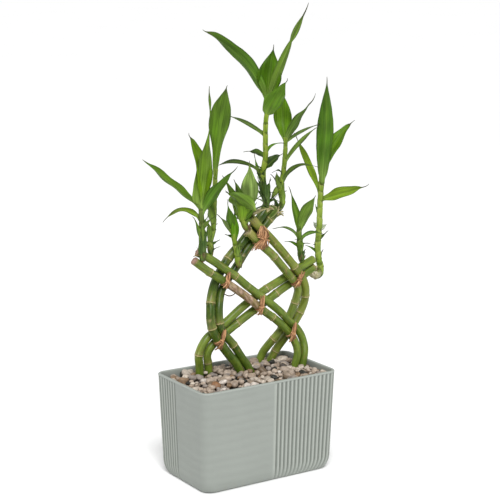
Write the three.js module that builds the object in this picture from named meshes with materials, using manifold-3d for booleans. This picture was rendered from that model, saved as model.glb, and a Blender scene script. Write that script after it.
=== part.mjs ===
// A lucky bamboo: eight bare canes woven into an open lattice and tied where they cross,
// with nine leafy shoots at their ends, standing in stones in a ribbed ceramic pot.
// Millimetres, +Z up. The origin is the middle of the pot's foot, +X runs along its long side
// and -Y is its front.
import * as THREE from 'three';
import { mergeVertices } from 'three/addons/utils/BufferGeometryUtils.js';
import Module from 'manifold-3d';

const wasm = await Module();
wasm.setup();

// Driving sizes
const clearance = 0.3;

const pot = {
  length: 150,
  width: 90,
  height: 98,
  wall: 3.2,
  floor: 5,
  taper: 3.2,
  rimCorner: 9,
  footCorner: 12,
  footInset: 4.6,
  footRound: 13,
  rimChamfer: 0.6,
  rimBand: 1.4,
  ribPitch: 4.7,
  grooveShare: 0.4,
  grooveDepth: 0.9,
  ribbedFront: 71,
  ribbedSide: 39,
};

const filling = {
  soilTop: 76,
  bedEdge: 91,
  bedCrown: 4.5,
  stoneSpacing: 11.2,
  stoneRows: 10,
  stoneRadius: 5.4,
  stoneSink: 0.6,
  seed: 41,
};

const cane = {
  sides: 8,
  ringStep: 10,
  nodeRise: 0.35,
  nodeHalf: 1.3,
};

const shoot = {
  sides: 6,
  ringStep: 11,
  collar: 3,
  collarShare: 0.65,
};

const blade = {
  halfThickness: 0.65,
  keel: 0.16,
  rootShare: 0.3,
  rootSunk: 1.5,
  stepLength: 10.5,
};

const tie = {
  cord: 1.1,
  sides: 5,
  steps: 18,
};

// The canes of the lattice. Each route runs from the buried foot to the cut top, and its points
// are chosen by hand. Strands a and d cross in the middle of the lattice, b and c at its top.
// Every strand is a pair of canes side by side, and the lattice has a front and a back layer.
// joints are the heights of the pale rings.
const front = 9.9;
const back = 18.6;

const canes = {
  cane_a1: {
    radius: 3.7,
    footRadius: 3.5,
    joints: [116, 170.5],
    route: [
      [-36, 23, 42], [-37, 23, 70], [-38.5, 22.5, 90], [-39.5, 21.5, 104], [-41.2, 19.8, 112.5],
      [-41, 19, 117.5], [-38.5, back, 123.5], [-32.5, back, 131], [-20, back, 138.5],
      [-8.5, back, 145.5], [8, back, 156.5], [31.5, back, 169], [53, back, 178],
      [74, back, 187], [90, back, 193.5],
    ],
  },
  cane_a2: {
    radius: 3.7,
    footRadius: 3.2,
    joints: [107, 141, 164.5],
    route: [
      [-25, 23, 42], [-26, 23, 70], [-28, 22.5, 90], [-29.8, 21.4, 104.5], [-32, 19.6, 113],
      [-31, 18.9, 118], [-27.5, back, 122.5], [-17, back, 130], [-5.5, back, 137],
      [11.5, back, 146.5], [26, back, 154], [39.7, back, 161], [53, back, 168],
      [66, back, 173.8], [80.5, back, 180], [91, back, 185.3],
    ],
  },
  cane_b1: {
    radius: 4.1,
    footRadius: 3.7,
    joints: [142.5, 165.5, 205],
    route: [
      [3.5, 6, 42], [3, 6, 72], [-0.5, 6.5, 90], [-7.2, 7.6, 105], [-12.5, 8.8, 112],
      [-17.3, 9.6, 118.5], [-26.2, front, 131], [-31.6, front, 141], [-33.3, 10.5, 150],
      [-32.2, 12.5, 157.6], [-30.2, 15.4, 165.7], [-27.2, 17.8, 173.7], [-22.7, back, 185],
      [-8.6, back, 205.2], [7, back, 219.2], [17.4, back, 230.3], [27.3, back, 240.8],
      [34, back, 248.2],
    ],
  },
  cane_b2: {
    radius: 3.7,
    footRadius: 3.5,
    joints: [122.5, 146.5, 238],
    route: [
      [14, 6, 42], [13, 6, 72], [9.6, 6.5, 92], [6, 7, 99.8], [-0.2, 8.3, 109.4],
      [-8.4, front, 122.6], [-18.4, front, 134.2], [-22.6, front, 141.5], [-24, 10.5, 150],
      [-22.8, 13, 159.2], [-20.2, 15.9, 167.2], [-17.2, 17.9, 174.4], [-12, back, 182],
      [-0.6, back, 195], [10.7, back, 209.8], [22, back, 222.5], [34.6, back, 235],
      [45.5, back, 244.5],
    ],
  },
  cane_c1: {
    radius: 3.7,
    footRadius: 3.3,
    joints: [118.5, 154, 172.5, 203],
    route: [
      [29, 30, 42], [30, 30, 72], [32.5, 29.5, 92], [36.7, 27.7, 104.6], [39.8, 25, 110.6],
      [43.5, 21.9, 116.7], [48, 19.3, 122.8], [55.5, back, 131], [62, back, 140],
      [65.5, 16.9, 149.5], [67, 13.3, 160.5], [66.5, 11, 167.3], [63.7, front, 173.5],
      [58.2, front, 180], [46, front, 193.8], [35, front, 206], [24, front, 215.5],
      [11.1, front, 228], [8, front, 231],
    ],
  },
  cane_c2: {
    radius: 3.8,
    footRadius: 3.4,
    joints: [104, 142, 160, 191, 232],
    route: [
      [41, 30, 42], [42, 30, 72], [45, 29.5, 92], [51.2, 28.2, 103], [54.5, 25.5, 110],
      [58.5, 21.5, 118], [64, 18.8, 127.5], [70, back, 135.5], [74.5, 18.3, 142.5],
      [77.2, 16, 152], [77, 13.5, 160], [75, 10.8, 168.5], [72, front, 176],
      [66, front, 185.3], [54.5, front, 198.8], [41, front, 214], [30, front, 225.3],
      [21, front, 233.5], [15, front, 240], [10.8, front, 244],
    ],
  },
  cane_d1: {
    radius: 3.6,
    footRadius: 2.9,
    joints: [165.5, 189.5],
    route: [
      [62, 2, 42], [63, 1.5, 72], [65.3, 1, 92], [68.3, 2, 104], [69.8, 3.8, 109.5],
      [70.1, 6.5, 115.5], [68.8, 8.8, 122], [64.5, front, 129], [57.6, front, 135.4],
      [45.3, front, 147.8], [38, front, 154.2], [24, front, 165.3], [7, front, 178.3],
      [-7, front, 190.2], [-16, front, 196.3], [-30, 10.3, 206.5], [-38, 11.5, 211.7],
      [-46, 13, 216],
    ],
  },
  cane_d2: {
    radius: 3.6,
    footRadius: 2.9,
    joints: [144, 196.5],
    route: [
      [51, 3, 42], [53, 2.5, 72], [56.3, 2, 92], [60.3, 2.5, 104], [61.3, 4.5, 111],
      [60, 7.5, 118], [57, 9.8, 124.5], [51.7, front, 130], [40, front, 141],
      [28.3, front, 149.7], [20.7, front, 156], [11, front, 164], [4.3, front, 169.4],
      [-9.1, front, 179.2], [-20.7, front, 187.3], [-32, 9, 194.7], [-39, 8.5, 199.5],
      [-52, 8.5, 209.5],
    ],
  },
};

// The leafy shoots. Each stem's route starts at the cane that it grew from. A leaf is
// [height up the shoot, heading in plan, length from root to tip, lean from upright,
// arch of its middle, width, turn of its face about its length, share of the length where it
// is widest].
const shoots = {
  shoot_1: {
    radii: [3.0, 2.2],
    route: [[-44.5, 6.5, 209.2], [-44, 6, 216], [-44.3, 6, 226], [-45, 6, 243], [-46, 6, 260]],
    leaves: [
      [53, 165, 76, 49, 0, 10.5, 45, 0.4],
      [38, 130, 35, 88, 9, 9, -25, 0.4],
      [18, 150, 24, 18, 0, 5, 60, 0.4],
      [50, 285, 110, 8, -4, 17, 15, 0.2],
      [51, 95, 73, 15, 11, 12.5, -10, 0.5],
      [44, 300, 55, 38, 2, 12, -45, 0.45],
      [34, 325, 11, 31, 0, 3.5, 60, 0.3],
    ],
  },
  shoot_2: {
    radii: [2.6, 2.0],
    route: [
      [-32, 12, 213], [-32.8, 12, 222], [-29.3, 12, 236], [-28, 12, 253], [-27, 12, 279],
      [-26, 12, 293],
    ],
    leaves: [
      [72, 271, 90, 13, 3, 20, -20, 0.56],
      [37, 175, 20, 28, 0, 8, 45, 0.4],
      [10, 325, 10, 60, 0, 2.4, 60, 0.3],
      [17, 345, 8, 33, 0, 2.4, 60, 0.3],
      [13, 145, 9.5, 20, 0, 2.4, -60, 0.3],
    ],
  },
  shoot_3: {
    radii: [2.6, 2.1],
    route: [
      [-1, 11.3, 197], [-3, 11.3, 204], [-3.5, 11.6, 212], [-5, 12, 219], [-6.5, 12, 226],
      [-9, 12, 235],
    ],
    leaves: [
      [33, 135, 23, 38, 1, 5, -60, 0.4],
      [34, 165, 32, 9, -1, 9, 45, 0.4],
      [26, 60, 29, 17, 7, 8, 0, 0.4],
      [31, 145, 8, 72, 0, 2.4, -60, 0.3],
    ],
  },
  shoot_4: {
    radii: [2.8, 2.1],
    route: [[6.6, 10, 232.4], [3.5, 10, 238], [1, 10, 245]],
    leaves: [
      [6, 180, 39, 30, 5, 16, 45, 0.45],
      [9, 115, 46, 28, 2, 8, -40, 0.45],
      [7, 195, 45, 17, 3, 11, 35, 0.45],
      [8, 305, 21, 43, 2, 8, -50, 0.4],
    ],
  },
  shoot_5: {
    radii: [2.9, 2.0],
    route: [
      [34.8, back, 250.4], [33, back, 261], [31.3, back, 272], [30.5, back, 284],
      [33, back, 295], [33.2, back, 316], [33.5, back, 332], [35, back, 343],
      [35.3, back, 356],
    ],
    leaves: [
      [101, 155, 88, 41, 9, 13.5, 60, 0.45],
      [101, 345, 85, 23, 2, 9, 45, 0.3],
      [103, 15, 48, 10, 1, 20, 40, 0.45],
      [90, 277, 44, 41, 0, 15, -35, 0.4],
      [70, 135, 40, 63, 2, 4.5, -60, 0.45],
      [49, 165, 20, 70, 2, 7, 55, 0.45],
      [49, 345, 21, 50, 5, 3, 60, 0.4],
      [34, 125, 46, 83, 10, 4.5, -60, 0.65],
      [37, 325, 22, 48, 1, 10, 60, 0.55],
      [22, 115, 31, 20, -1, 4, -50, 0.4],
      [3, 85, 30, 36, 0, 6, -10, 0.4],
      [16, 335, 13, 27, 0, 2.4, 60, 0.3],
    ],
  },
  shoot_6: {
    radii: [2.8, 1.9],
    route: [
      [46, back, 244.9], [50.5, back, 249], [53, back, 254], [51.5, back, 260.5],
      [51.3, back, 271], [54, back, 282], [55, back, 290], [56, back, 304],
      [56.3, back, 316],
    ],
    leaves: [
      [67, 65, 48, 19, -8, 18, -10, 0.55],
      [68, 310, 45, 33, 2, 9, -65, 0.4],
      [68, 355, 40, 68, 2, 3.4, 60, 0.4],
      [48, 320, 44, 41, 2, 5, -70, 0.5],
      [28, 295, 44, 64, 9, 4.5, -70, 0.4],
      [26, 165, 12, 19, 0, 6, 60, 0.4],
      [18, 125, 21, 29, 2, 2.6, -60, 0.4],
      [28, 155, 20, 147, 0, 6, -60, 0.4],
      [4, 155, 8, 34, 0, 2.4, 60, 0.3],
    ],
  },
  shoot_7: {
    radii: [2.5, 2.0],
    route: [
      [76, back, 192.4], [75, back, 198], [73.3, back, 208], [73, back, 218],
      [72.5, back, 228],
    ],
    leaves: [
      [30, 115, 43, 14, 1, 8, -40, 0.4],
      [30, 285, 43, 27, 2, 12, -40, 0.5],
      [24, 135, 27, 69, 6, 3.5, -60, 0.4],
      [22, 340, 24, 74, 5, 4, 60, 0.45],
      [10, 165, 20, 51, 4, 2.4, 60, 0.4],
      [5, 145, 8, 25, 0, 2.6, -60, 0.3],
      [3, 325, 8, 25, 0, 2.4, 60, 0.3],
    ],
  },
  shoot_8: {
    radii: [2.7, 2.0],
    route: [
      [90, back, 179.1], [94.5, back, 176.2], [98.3, back, 178.7], [98.8, back, 184.5],
      [96.6, back, 192], [95, back, 206], [96, back, 217], [97, back, 230],
      [97.2, back, 244], [98, back, 257], [99, back, 271], [100, back, 284],
    ],
    leaves: [
      [98, 265, 93, 4, -1, 16.5, -25, 0.55],
      [97, 355, 60, 33, 5, 11.5, 40, 0.55],
      [80, 130, 60, 27, 2, 8.5, -50, 0.5],
      [74, 305, 47, 71, 0, 10, 60, 0.5],
      [45, 165, 10, 38, 0, 6, 60, 0.4],
      [45, 335, 9, 59, 0, 6, 60, 0.4],
      [58, 155, 13, 21, 0, 4, 60, 0.4],
      [34, 335, 13, 46, 0, 2.4, 60, 0.3],
      [17, 155, 17, 51, 2, 2.4, 60, 0.4],
      [16, 345, 9, 29, 0, 2.4, 60, 0.3],
    ],
  },
  shoot_9: {
    radii: [2.8, 2.2],
    route: [[9.8, 10, 245.4], [9.8, 10, 251], [10.3, 10, 257]],
    leaves: [
      [7, 235, 49, 6, -3, 17, 0, 0.42],
      [2, 335, 19, 15, -1, 5, 60, 0.4],
      [5, 60, 30, 20, 2, 9, 0, 0.4],
    ],
  },
};

// The ties of the lattice: the middle of the crossing, the lean of the loop from upright, how
// far along the loop a cane can cross it and be tied in, the bunch of the knot as [way along
// the loop, half its width, half its height] and its tail as [sideways, down].
const ties = {
  tie_low_left: { at: [-20, 131], lean: 12, reach: 12, knot: [-4, 2.6, 5], tail: [-4, -9] },
  tie_low_right: { at: [56, 133], lean: 8, reach: 12, knot: [-8, 3.4, 5], tail: [-2, -8] },
  tie_middle: { at: [25, 159], lean: 0, reach: 12, knot: [-3, 2.4, 5], tail: [-5, -12] },
  tie_left: { at: [-15, 190], lean: -12, reach: 13, knot: [-3, 2.4, 5], tail: [-3, -9] },
  tie_right: { at: [65, 179], lean: 16, reach: 12, knot: [-1, 2.6, 5], tail: [-5, -8] },
  tie_top: { at: [20, 228], lean: 0, reach: 13, cord: 1.5, knot: [-5, 5, 7], tail: [-5, -10] },
};

const colours = {
  glaze: 0xa8ada4,
  soil: 0x3a2c20,
  stone: 0xb9a58f,
  caneGreen: 0x6f9a32,
  leafGreen: 0x5a8a2a,
  raffia: 0xb88756,
};

function material(name, colour, roughness) {
  return new THREE.MeshStandardMaterial({ name, color: colour, roughness, metalness: 0 });
}

// Closed bodies from rings of points, and their way in and out of the joining library
function geometryOf(points, faces) {
  const geometry = new THREE.BufferGeometry();
  const flat = new Float32Array(points.length * 3);
  points.forEach((p, i) => flat.set([p.x, p.y, p.z], i * 3));
  geometry.setAttribute('position', new THREE.BufferAttribute(flat, 3));
  geometry.setIndex(faces.flat());
  return geometry;
}

function loft(rings) {
  const count = rings[0].length;
  const points = rings.flat();
  const faces = [];
  for (let ring = 0; ring + 1 < rings.length; ring += 1) {
    for (let i = 0; i < count; i += 1) {
      const j = (i + 1) % count;
      const a = ring * count + i;
      const b = ring * count + j;
      faces.push([a, b, b + count], [a, b + count, a + count]);
    }
  }
  const cap = (ring, flip) => {
    const centre = new THREE.Vector3();
    rings[ring].forEach((p) => centre.addScaledVector(p, 1 / count));
    points.push(centre);
    for (let i = 0; i < count; i += 1) {
      const a = ring * count + i;
      const b = ring * count + ((i + 1) % count);
      faces.push(flip ? [points.length - 1, b, a] : [points.length - 1, a, b]);
    }
  };
  cap(0, true);
  cap(rings.length - 1, false);
  return geometryOf(points, faces);
}

function toSolid(geometry) {
  return new wasm.Manifold(new wasm.Mesh({
    numProp: 3,
    vertProperties: geometry.attributes.position.array,
    triVerts: Uint32Array.from(geometry.index.array),
  }));
}

function fromSolid(solid) {
  const body = solid.decompose().sort((a, b) => b.volume() - a.volume())[0].simplify(0.01);
  const mesh = body.getMesh();
  const geometry = new THREE.BufferGeometry();
  geometry.setAttribute('position', new THREE.BufferAttribute(mesh.vertProperties, 3));
  geometry.setIndex(Array.from(mesh.triVerts));
  return geometry;
}

function fuse(solids) {
  return wasm.Manifold.union(solids);
}

// A repeatable draw of numbers between 0 and 1
function draws(seed) {
  let state = seed;
  return () => {
    state = (state * 16807) % 2147483647;
    return state / 2147483647;
  };
}

// The pot's outline as a rounded rectangle. Every station keeps its place round the outline at
// each height, so the grooves run straight down the sides and close up under the foot.
function outline(halfLength, halfWidth, corner) {
  const a = halfLength - corner;
  const b = halfWidth - corner;
  return (side, share) => {
    const turn = Math.floor(side / 2) * (Math.PI / 2);
    const cornerX = [a, -a, -a, a][Math.floor(side / 2)];
    const cornerY = [b, b, -b, -b][Math.floor(side / 2)];
    if (side % 2 === 0) {
      const angle = turn + share * (Math.PI / 2);
      return [cornerX + corner * Math.cos(angle), cornerY + corner * Math.sin(angle)];
    }
    const nextX = [-a, -a, a, a][Math.floor(side / 2)];
    const nextY = [b, -b, -b, b][Math.floor(side / 2)];
    const angle = turn + Math.PI / 2;
    const x = cornerX + (nextX - cornerX) * share + corner * Math.cos(angle);
    const y = cornerY + (nextY - cornerY) * share + corner * Math.sin(angle);
    return [x, y];
  };
}

function potStations() {
  const longRun = pot.length - 2 * pot.rimCorner;
  const shortRun = pot.width - 2 * pot.rimCorner;
  const cornerRun = pot.rimCorner * (Math.PI / 2);
  const runs = [cornerRun, longRun, cornerRun, shortRun, cornerRun, longRun, cornerRun, shortRun];
  const starts = [];
  let total = 0;
  runs.forEach((run) => {
    starts.push(total);
    total += run;
  });
  const half = total / 2;
  const zoneLength = pot.ribbedFront + pot.ribbedSide - 2 * pot.rimCorner + cornerRun;
  const pitches = Math.round(zoneLength / pot.ribPitch);
  const pitch = zoneLength / pitches;
  const frontStart = starts[5] + pot.length - pot.rimCorner - pot.ribbedFront;
  const list = [];
  for (let zone = 0; zone < 2; zone += 1) {
    const zoneStart = frontStart - zone * half;
    for (let i = 0; i < pitches; i += 1) {
      const middle = zoneStart + (i + 0.5) * pitch;
      const reach = (pitch * pot.grooveShare) / 2;
      list.push([middle - reach, 0], [middle, 1], [middle + reach, 0]);
    }
    const plainStart = zoneStart + zoneLength;
    const plainLength = half - zoneLength;
    const steps = 12;
    for (let i = 1; i < steps; i += 1) {
      list.push([plainStart + (plainLength * i) / steps, 0]);
    }
  }
  return list
    .map(([s, depth]) => [((s % total) + total) % total, depth])
    .sort((p, q) => p[0] - q[0])
    .map(([s, depth]) => {
      let side = starts.length - 1;
      while (starts[side] > s) side -= 1;
      return { side, share: (s - starts[side]) / runs[side], depth };
    });
}

function potRing(stations, height, inset, corner, grooveScale) {
  const halfLength = pot.length / 2 - inset;
  const halfWidth = pot.width / 2 - inset;
  const outer = outline(halfLength, halfWidth, corner);
  const sunk = pot.grooveDepth * grooveScale;
  const inner = outline(halfLength - sunk, halfWidth - sunk, Math.max(corner - sunk, 1));
  return stations.map(({ side, share, depth }) => {
    const [x, y] = (depth > 0 && grooveScale > 0 ? inner : outer)(side, share);
    return new THREE.Vector3(x, y, height);
  });
}

function taperAt(height) {
  return pot.taper * (1 - height / pot.height);
}

function potBody() {
  const stations = potStations();
  const rings = [];
  const roundSteps = [0, 0.3, 0.58, 0.82, 1];
  roundSteps.forEach((step) => {
    const angle = step * (Math.PI / 2);
    const height = pot.footRound * (1 - Math.cos(angle));
    const inset = taperAt(height) + pot.footInset * (1 - Math.sin(angle));
    const corner = pot.footCorner - (pot.footCorner - pot.rimCorner) * step;
    rings.push(potRing(stations, height, inset, corner, step));
  });
  const bandFoot = pot.height - pot.rimBand;
  const chamferFoot = pot.height - pot.rimChamfer;
  rings.push(potRing(stations, bandFoot - 1, taperAt(bandFoot - 1), pot.rimCorner, 1));
  rings.push(potRing(stations, bandFoot, taperAt(bandFoot), pot.rimCorner, 0));
  rings.push(potRing(stations, chamferFoot, taperAt(chamferFoot), pot.rimCorner, 0));
  rings.push(potRing(stations, pot.height, pot.rimChamfer, pot.rimCorner - pot.rimChamfer, 0));
  return toSolid(loft(rings));
}

// The space inside the pot, from its floor to a height
function inside(low, high, gap) {
  const ring = (height) => {
    const inset = taperAt(height) + pot.wall + gap;
    const corner = pot.rimCorner - pot.wall + 2;
    const shape = outline(pot.length / 2 - inset, pot.width / 2 - inset, corner);
    const points = [];
    for (let side = 0; side < 8; side += 1) {
      const steps = side % 2 === 0 ? 4 : 1;
      for (let i = 0; i < steps; i += 1) {
        const [x, y] = shape(side, i / steps);
        points.push(new THREE.Vector3(x, y, height));
      }
    }
    return points;
  };
  return toSolid(loft([ring(low), ring(high)]));
}

// A round rod of changing thickness along a smooth route
function rod(route, radiusAt, shares, sides) {
  const curve = new THREE.CatmullRomCurve3(route.map((p) => new THREE.Vector3(...p)));
  curve.arcLengthDivisions = 400;
  const normal = new THREE.Vector3(0, 1, 0);
  const across = new THREE.Vector3();
  const rings = shares.map((u) => {
    const middle = curve.getPointAt(u);
    const along = curve.getTangentAt(u);
    normal.addScaledVector(along, -normal.dot(along)).normalize();
    across.crossVectors(along, normal);
    const radius = radiusAt(u);
    const ring = [];
    for (let i = 0; i < sides; i += 1) {
      const angle = (i / sides) * 2 * Math.PI;
      ring.push(middle.clone()
        .addScaledVector(normal, radius * Math.cos(angle))
        .addScaledVector(across, radius * Math.sin(angle)));
    }
    return ring;
  });
  return loft(rings);
}

function shareAtHeight(curve, height) {
  const steps = 400;
  for (let i = steps; i > 0; i -= 1) {
    const upper = curve.getPointAt(i / steps).z;
    const lower = curve.getPointAt((i - 1) / steps).z;
    if (lower <= height && height <= upper) {
      return (i - 1 + (height - lower) / Math.max(upper - lower, 1e-6)) / steps;
    }
  }
  return 1;
}

function caneRod(spec, extra, withJoints) {
  const curve = new THREE.CatmullRomCurve3(spec.route.map((p) => new THREE.Vector3(...p)));
  const length = curve.getLength();
  const joints = withJoints ? spec.joints.map((height) => shareAtHeight(curve, height)) : [];
  const half = cane.nodeHalf / length;
  const steps = Math.round(length / cane.ringStep);
  let shares = Array.from({ length: steps + 1 }, (unused, i) => i / steps);
  shares = shares.filter((u) => joints.every((at) => Math.abs(u - at) > 2.4 * half));
  joints.forEach((at) => shares.push(at - half, at, at + half));
  shares.sort((a, b) => a - b);
  const radiusAt = (u) => {
    const grow = Math.min(u / 0.35, 1);
    const body = spec.footRadius + (spec.radius - spec.footRadius) * grow;
    const rise = joints.includes(u) ? cane.nodeRise : 0;
    return body + rise + extra;
  };
  return rod(spec.route, radiusAt, shares, cane.sides);
}

// A leaf: a long pointed blade, folded a little along its middle and a knife edge at its rim
function leafBlade(stem, footHeight, row) {
  const [height, heading, length, lean, arch, width, turn, widestAt] = row;
  const share = shareAtHeight(stem, footHeight + height);
  const along = stem.getTangentAt(share);
  const root = stem.getPointAt(share).addScaledVector(along, -blade.rootSunk);
  const plan = THREE.MathUtils.degToRad(heading);
  const tilt = THREE.MathUtils.degToRad(lean);
  const outward = new THREE.Vector3(Math.cos(plan), Math.sin(plan), 0);
  const chord = outward.clone().multiplyScalar(Math.sin(tilt));
  chord.z = Math.cos(tilt);
  const face = outward.clone().multiplyScalar(-Math.cos(tilt));
  face.z = Math.sin(tilt);
  const tip = root.clone().addScaledVector(chord, length);
  const middle = root.clone().add(tip).multiplyScalar(0.5).addScaledVector(face, 2 * arch);
  const curve = new THREE.QuadraticBezierCurve3(root, middle, tip);
  const side = new THREE.Vector3().crossVectors(chord, face)
    .applyAxisAngle(chord, THREE.MathUtils.degToRad(turn));
  const steps = Math.max(3, Math.round(length / blade.stepLength));
  const points = [];
  for (let i = 0; i < steps; i += 1) {
    const t = i / steps;
    const centre = curve.getPoint(t);
    const forward = curve.getTangent(t);
    const across = side.clone().addScaledVector(forward, -side.dot(forward)).normalize();
    const up = new THREE.Vector3().crossVectors(across, forward);
    const half = (width / 2) * bladeShape(t, width, widestAt);
    const thick = Math.min(blade.halfThickness, 0.35 + half * 0.08);
    const lift = half * blade.keel;
    points.push(
      centre.clone().addScaledVector(across, -half).addScaledVector(up, lift),
      centre.clone().addScaledVector(up, thick),
      centre.clone().addScaledVector(across, half).addScaledVector(up, lift),
      centre.clone().addScaledVector(up, -thick),
    );
  }
  points.push(tip);
  const faces = [[0, 3, 1], [1, 3, 2]];
  for (let i = 0; i + 1 < steps; i += 1) {
    const o = i * 4;
    const n = o + 4;
    faces.push([o, o + 1, n + 1], [o, n + 1, n]);
    faces.push([o + 1, o + 2, n + 1], [n + 1, o + 2, n + 2]);
    faces.push([o + 2, o + 3, n + 3], [o + 2, n + 3, n + 2]);
    faces.push([o + 3, o, n + 3], [n + 3, o, n]);
  }
  const last = (steps - 1) * 4;
  for (let k = 0; k < 4; k += 1) {
    faces.push([last + k, last + ((k + 1) % 4), points.length - 1]);
  }
  return toSolid(geometryOf(points, faces));
}

function bladeShape(t, width, widestAt) {
  const rootShare = Math.min(0.8, Math.max(blade.rootShare, 2.6 / width));
  if (t < widestAt) {
    const rise = Math.sin((t / widestAt) * (Math.PI / 2));
    return rootShare + (1 - rootShare) * rise ** (1.4 + 6 * Math.max(0, widestAt - 0.45));
  }
  const fall = (t - widestAt) / (1 - widestAt);
  return Math.cos(fall * (Math.PI / 2)) ** Math.max(0.8, 3.7 - 5 * widestAt);
}

function shootBody(spec) {
  const stem = new THREE.CatmullRomCurve3(spec.route.map((p) => new THREE.Vector3(...p)));
  stem.arcLengthDivisions = 400;
  const steps = Math.max(2, Math.round(stem.getLength() / shoot.ringStep));
  const shares = Array.from({ length: steps + 1 }, (unused, i) => i / steps);
  shares.splice(1, 0, shoot.collar / stem.getLength());
  const [low, high] = spec.radii;
  const radiusAt = (u) => (low + (high - low) * u) * (u === 0 ? shoot.collarShare : 1);
  const footHeight = spec.route[0][2];
  const parts = [toSolid(rod(spec.route, radiusAt, shares, shoot.sides))];
  spec.leaves.forEach((row) => parts.push(leafBlade(stem, footHeight, row)));
  return fuse(parts);
}

// The closed line that a cord takes when it is pulled round everything it crosses: each cane
// near the crossing shows as a disc in the plane of the loop, and the line is the outside of
// them all. Points come back as [along the loop's height, depth, way out].
function hugLine(spec, cord) {
  const [x, z] = spec.at;
  const lean = THREE.MathUtils.degToRad(spec.lean);
  const discs = [];
  Object.values(canes).forEach((one) => {
    const curve = new THREE.CatmullRomCurve3(one.route.map((p) => new THREE.Vector3(...p)));
    const steps = Math.round(curve.getLength());
    for (let i = 0; i <= steps; i += 1) {
      const p = curve.getPointAt(i / steps);
      const off = (p.x - x) * Math.cos(lean) - (p.z - z) * Math.sin(lean);
      const along = (p.x - x) * Math.sin(lean) + (p.z - z) * Math.cos(lean);
      const radius = one.radius + cane.nodeRise;
      const beside = Math.max(0, Math.abs(off) - cord);
      if (beside < radius && Math.abs(along) < spec.reach) {
        discs.push([along, p.y, Math.sqrt(radius ** 2 - beside ** 2)]);
      }
    }
  });
  return Array.from({ length: tie.steps }, (unused, i) => {
    const angle = (i / tie.steps) * 2 * Math.PI;
    const out = [Math.cos(angle), Math.sin(angle)];
    const reachOf = ([along, depth, radius]) => along * out[0] + depth * out[1] + radius;
    const widest = discs.reduce((a, b) => (reachOf(b) > reachOf(a) ? b : a));
    const push = widest[2] + clearance + cord;
    return [widest[0] + push * out[0], widest[1] + push * out[1], out];
  });
}

// A tie: a loop of raffia round both layers of a crossing, a knot bunched in front and a tail
function tieBody(spec) {
  const [x, z] = spec.at;
  const cord = spec.cord ?? tie.cord;
  const lean = THREE.MathUtils.degToRad(spec.lean);
  const line = hugLine(spec, cord);
  const place = (along, depth, aside) => new THREE.Vector3(
    x + along * Math.sin(lean) + aside * Math.cos(lean),
    depth,
    z + along * Math.cos(lean) - aside * Math.sin(lean),
  );
  const points = line.flatMap(([along, depth, out]) => (
    Array.from({ length: tie.sides }, (unused, k) => {
      const spin = (k / tie.sides) * 2 * Math.PI;
      const reach = cord * Math.cos(spin);
      return place(along + reach * out[0], depth + reach * out[1], cord * Math.sin(spin));
    })
  ));
  const faces = [];
  for (let i = 0; i < tie.steps; i += 1) {
    const next = (i + 1) % tie.steps;
    for (let k = 0; k < tie.sides; k += 1) {
      const m = (k + 1) % tie.sides;
      const [a, b] = [i * tie.sides + k, i * tie.sides + m];
      const [c, d] = [next * tie.sides + k, next * tie.sides + m];
      faces.push([a, d, c], [a, b, d]);
    }
  }
  const loop = toSolid(geometryOf(points, faces));
  const foremost = Math.min(...line.map(([, depth]) => depth));
  const [along, halfWidth, halfHeight] = spec.knot;
  const knotAt = place(along, foremost - cord * 0.6, 0);
  const knot = stone(knotAt.toArray(), [halfWidth, 1.5, halfHeight], 0);
  const [side, down] = spec.tail;
  const tailRoute = [
    knotAt.toArray(),
    [knotAt.x + side * 0.4, knotAt.y - 1.4, knotAt.z + down * 0.5],
    [knotAt.x + side, knotAt.y - 1, knotAt.z + down],
  ];
  const tail = toSolid(rod(tailRoute, (u) => 1.2 - 0.5 * u, [0, 0.5, 1], 4));
  return fuse([loop, knot, tail]);
}

// A small round stone, with its size along its own axes and its turn in plan
function stone(at, radii, turn) {
  const ball = new THREE.IcosahedronGeometry(1, 0);
  ball.deleteAttribute('normal');
  ball.deleteAttribute('uv');
  const geometry = mergeVertices(ball, 1e-4);
  geometry.scale(...radii);
  geometry.rotateZ(turn);
  geometry.translate(...at);
  return toSolid(geometry);
}

function bedHeight(x, y) {
  const reachX = pot.length / 2 - pot.wall;
  const reachY = pot.width / 2 - pot.wall;
  const crown = Math.max(0, 1 - (x / reachX) ** 4) * Math.max(0, 1 - (y / reachY) ** 4);
  const towardBack = 1 + 0.25 * (y / reachY) + 0.15 * (x / reachX);
  return filling.bedEdge + filling.bedCrown * crown * towardBack;
}

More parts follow.
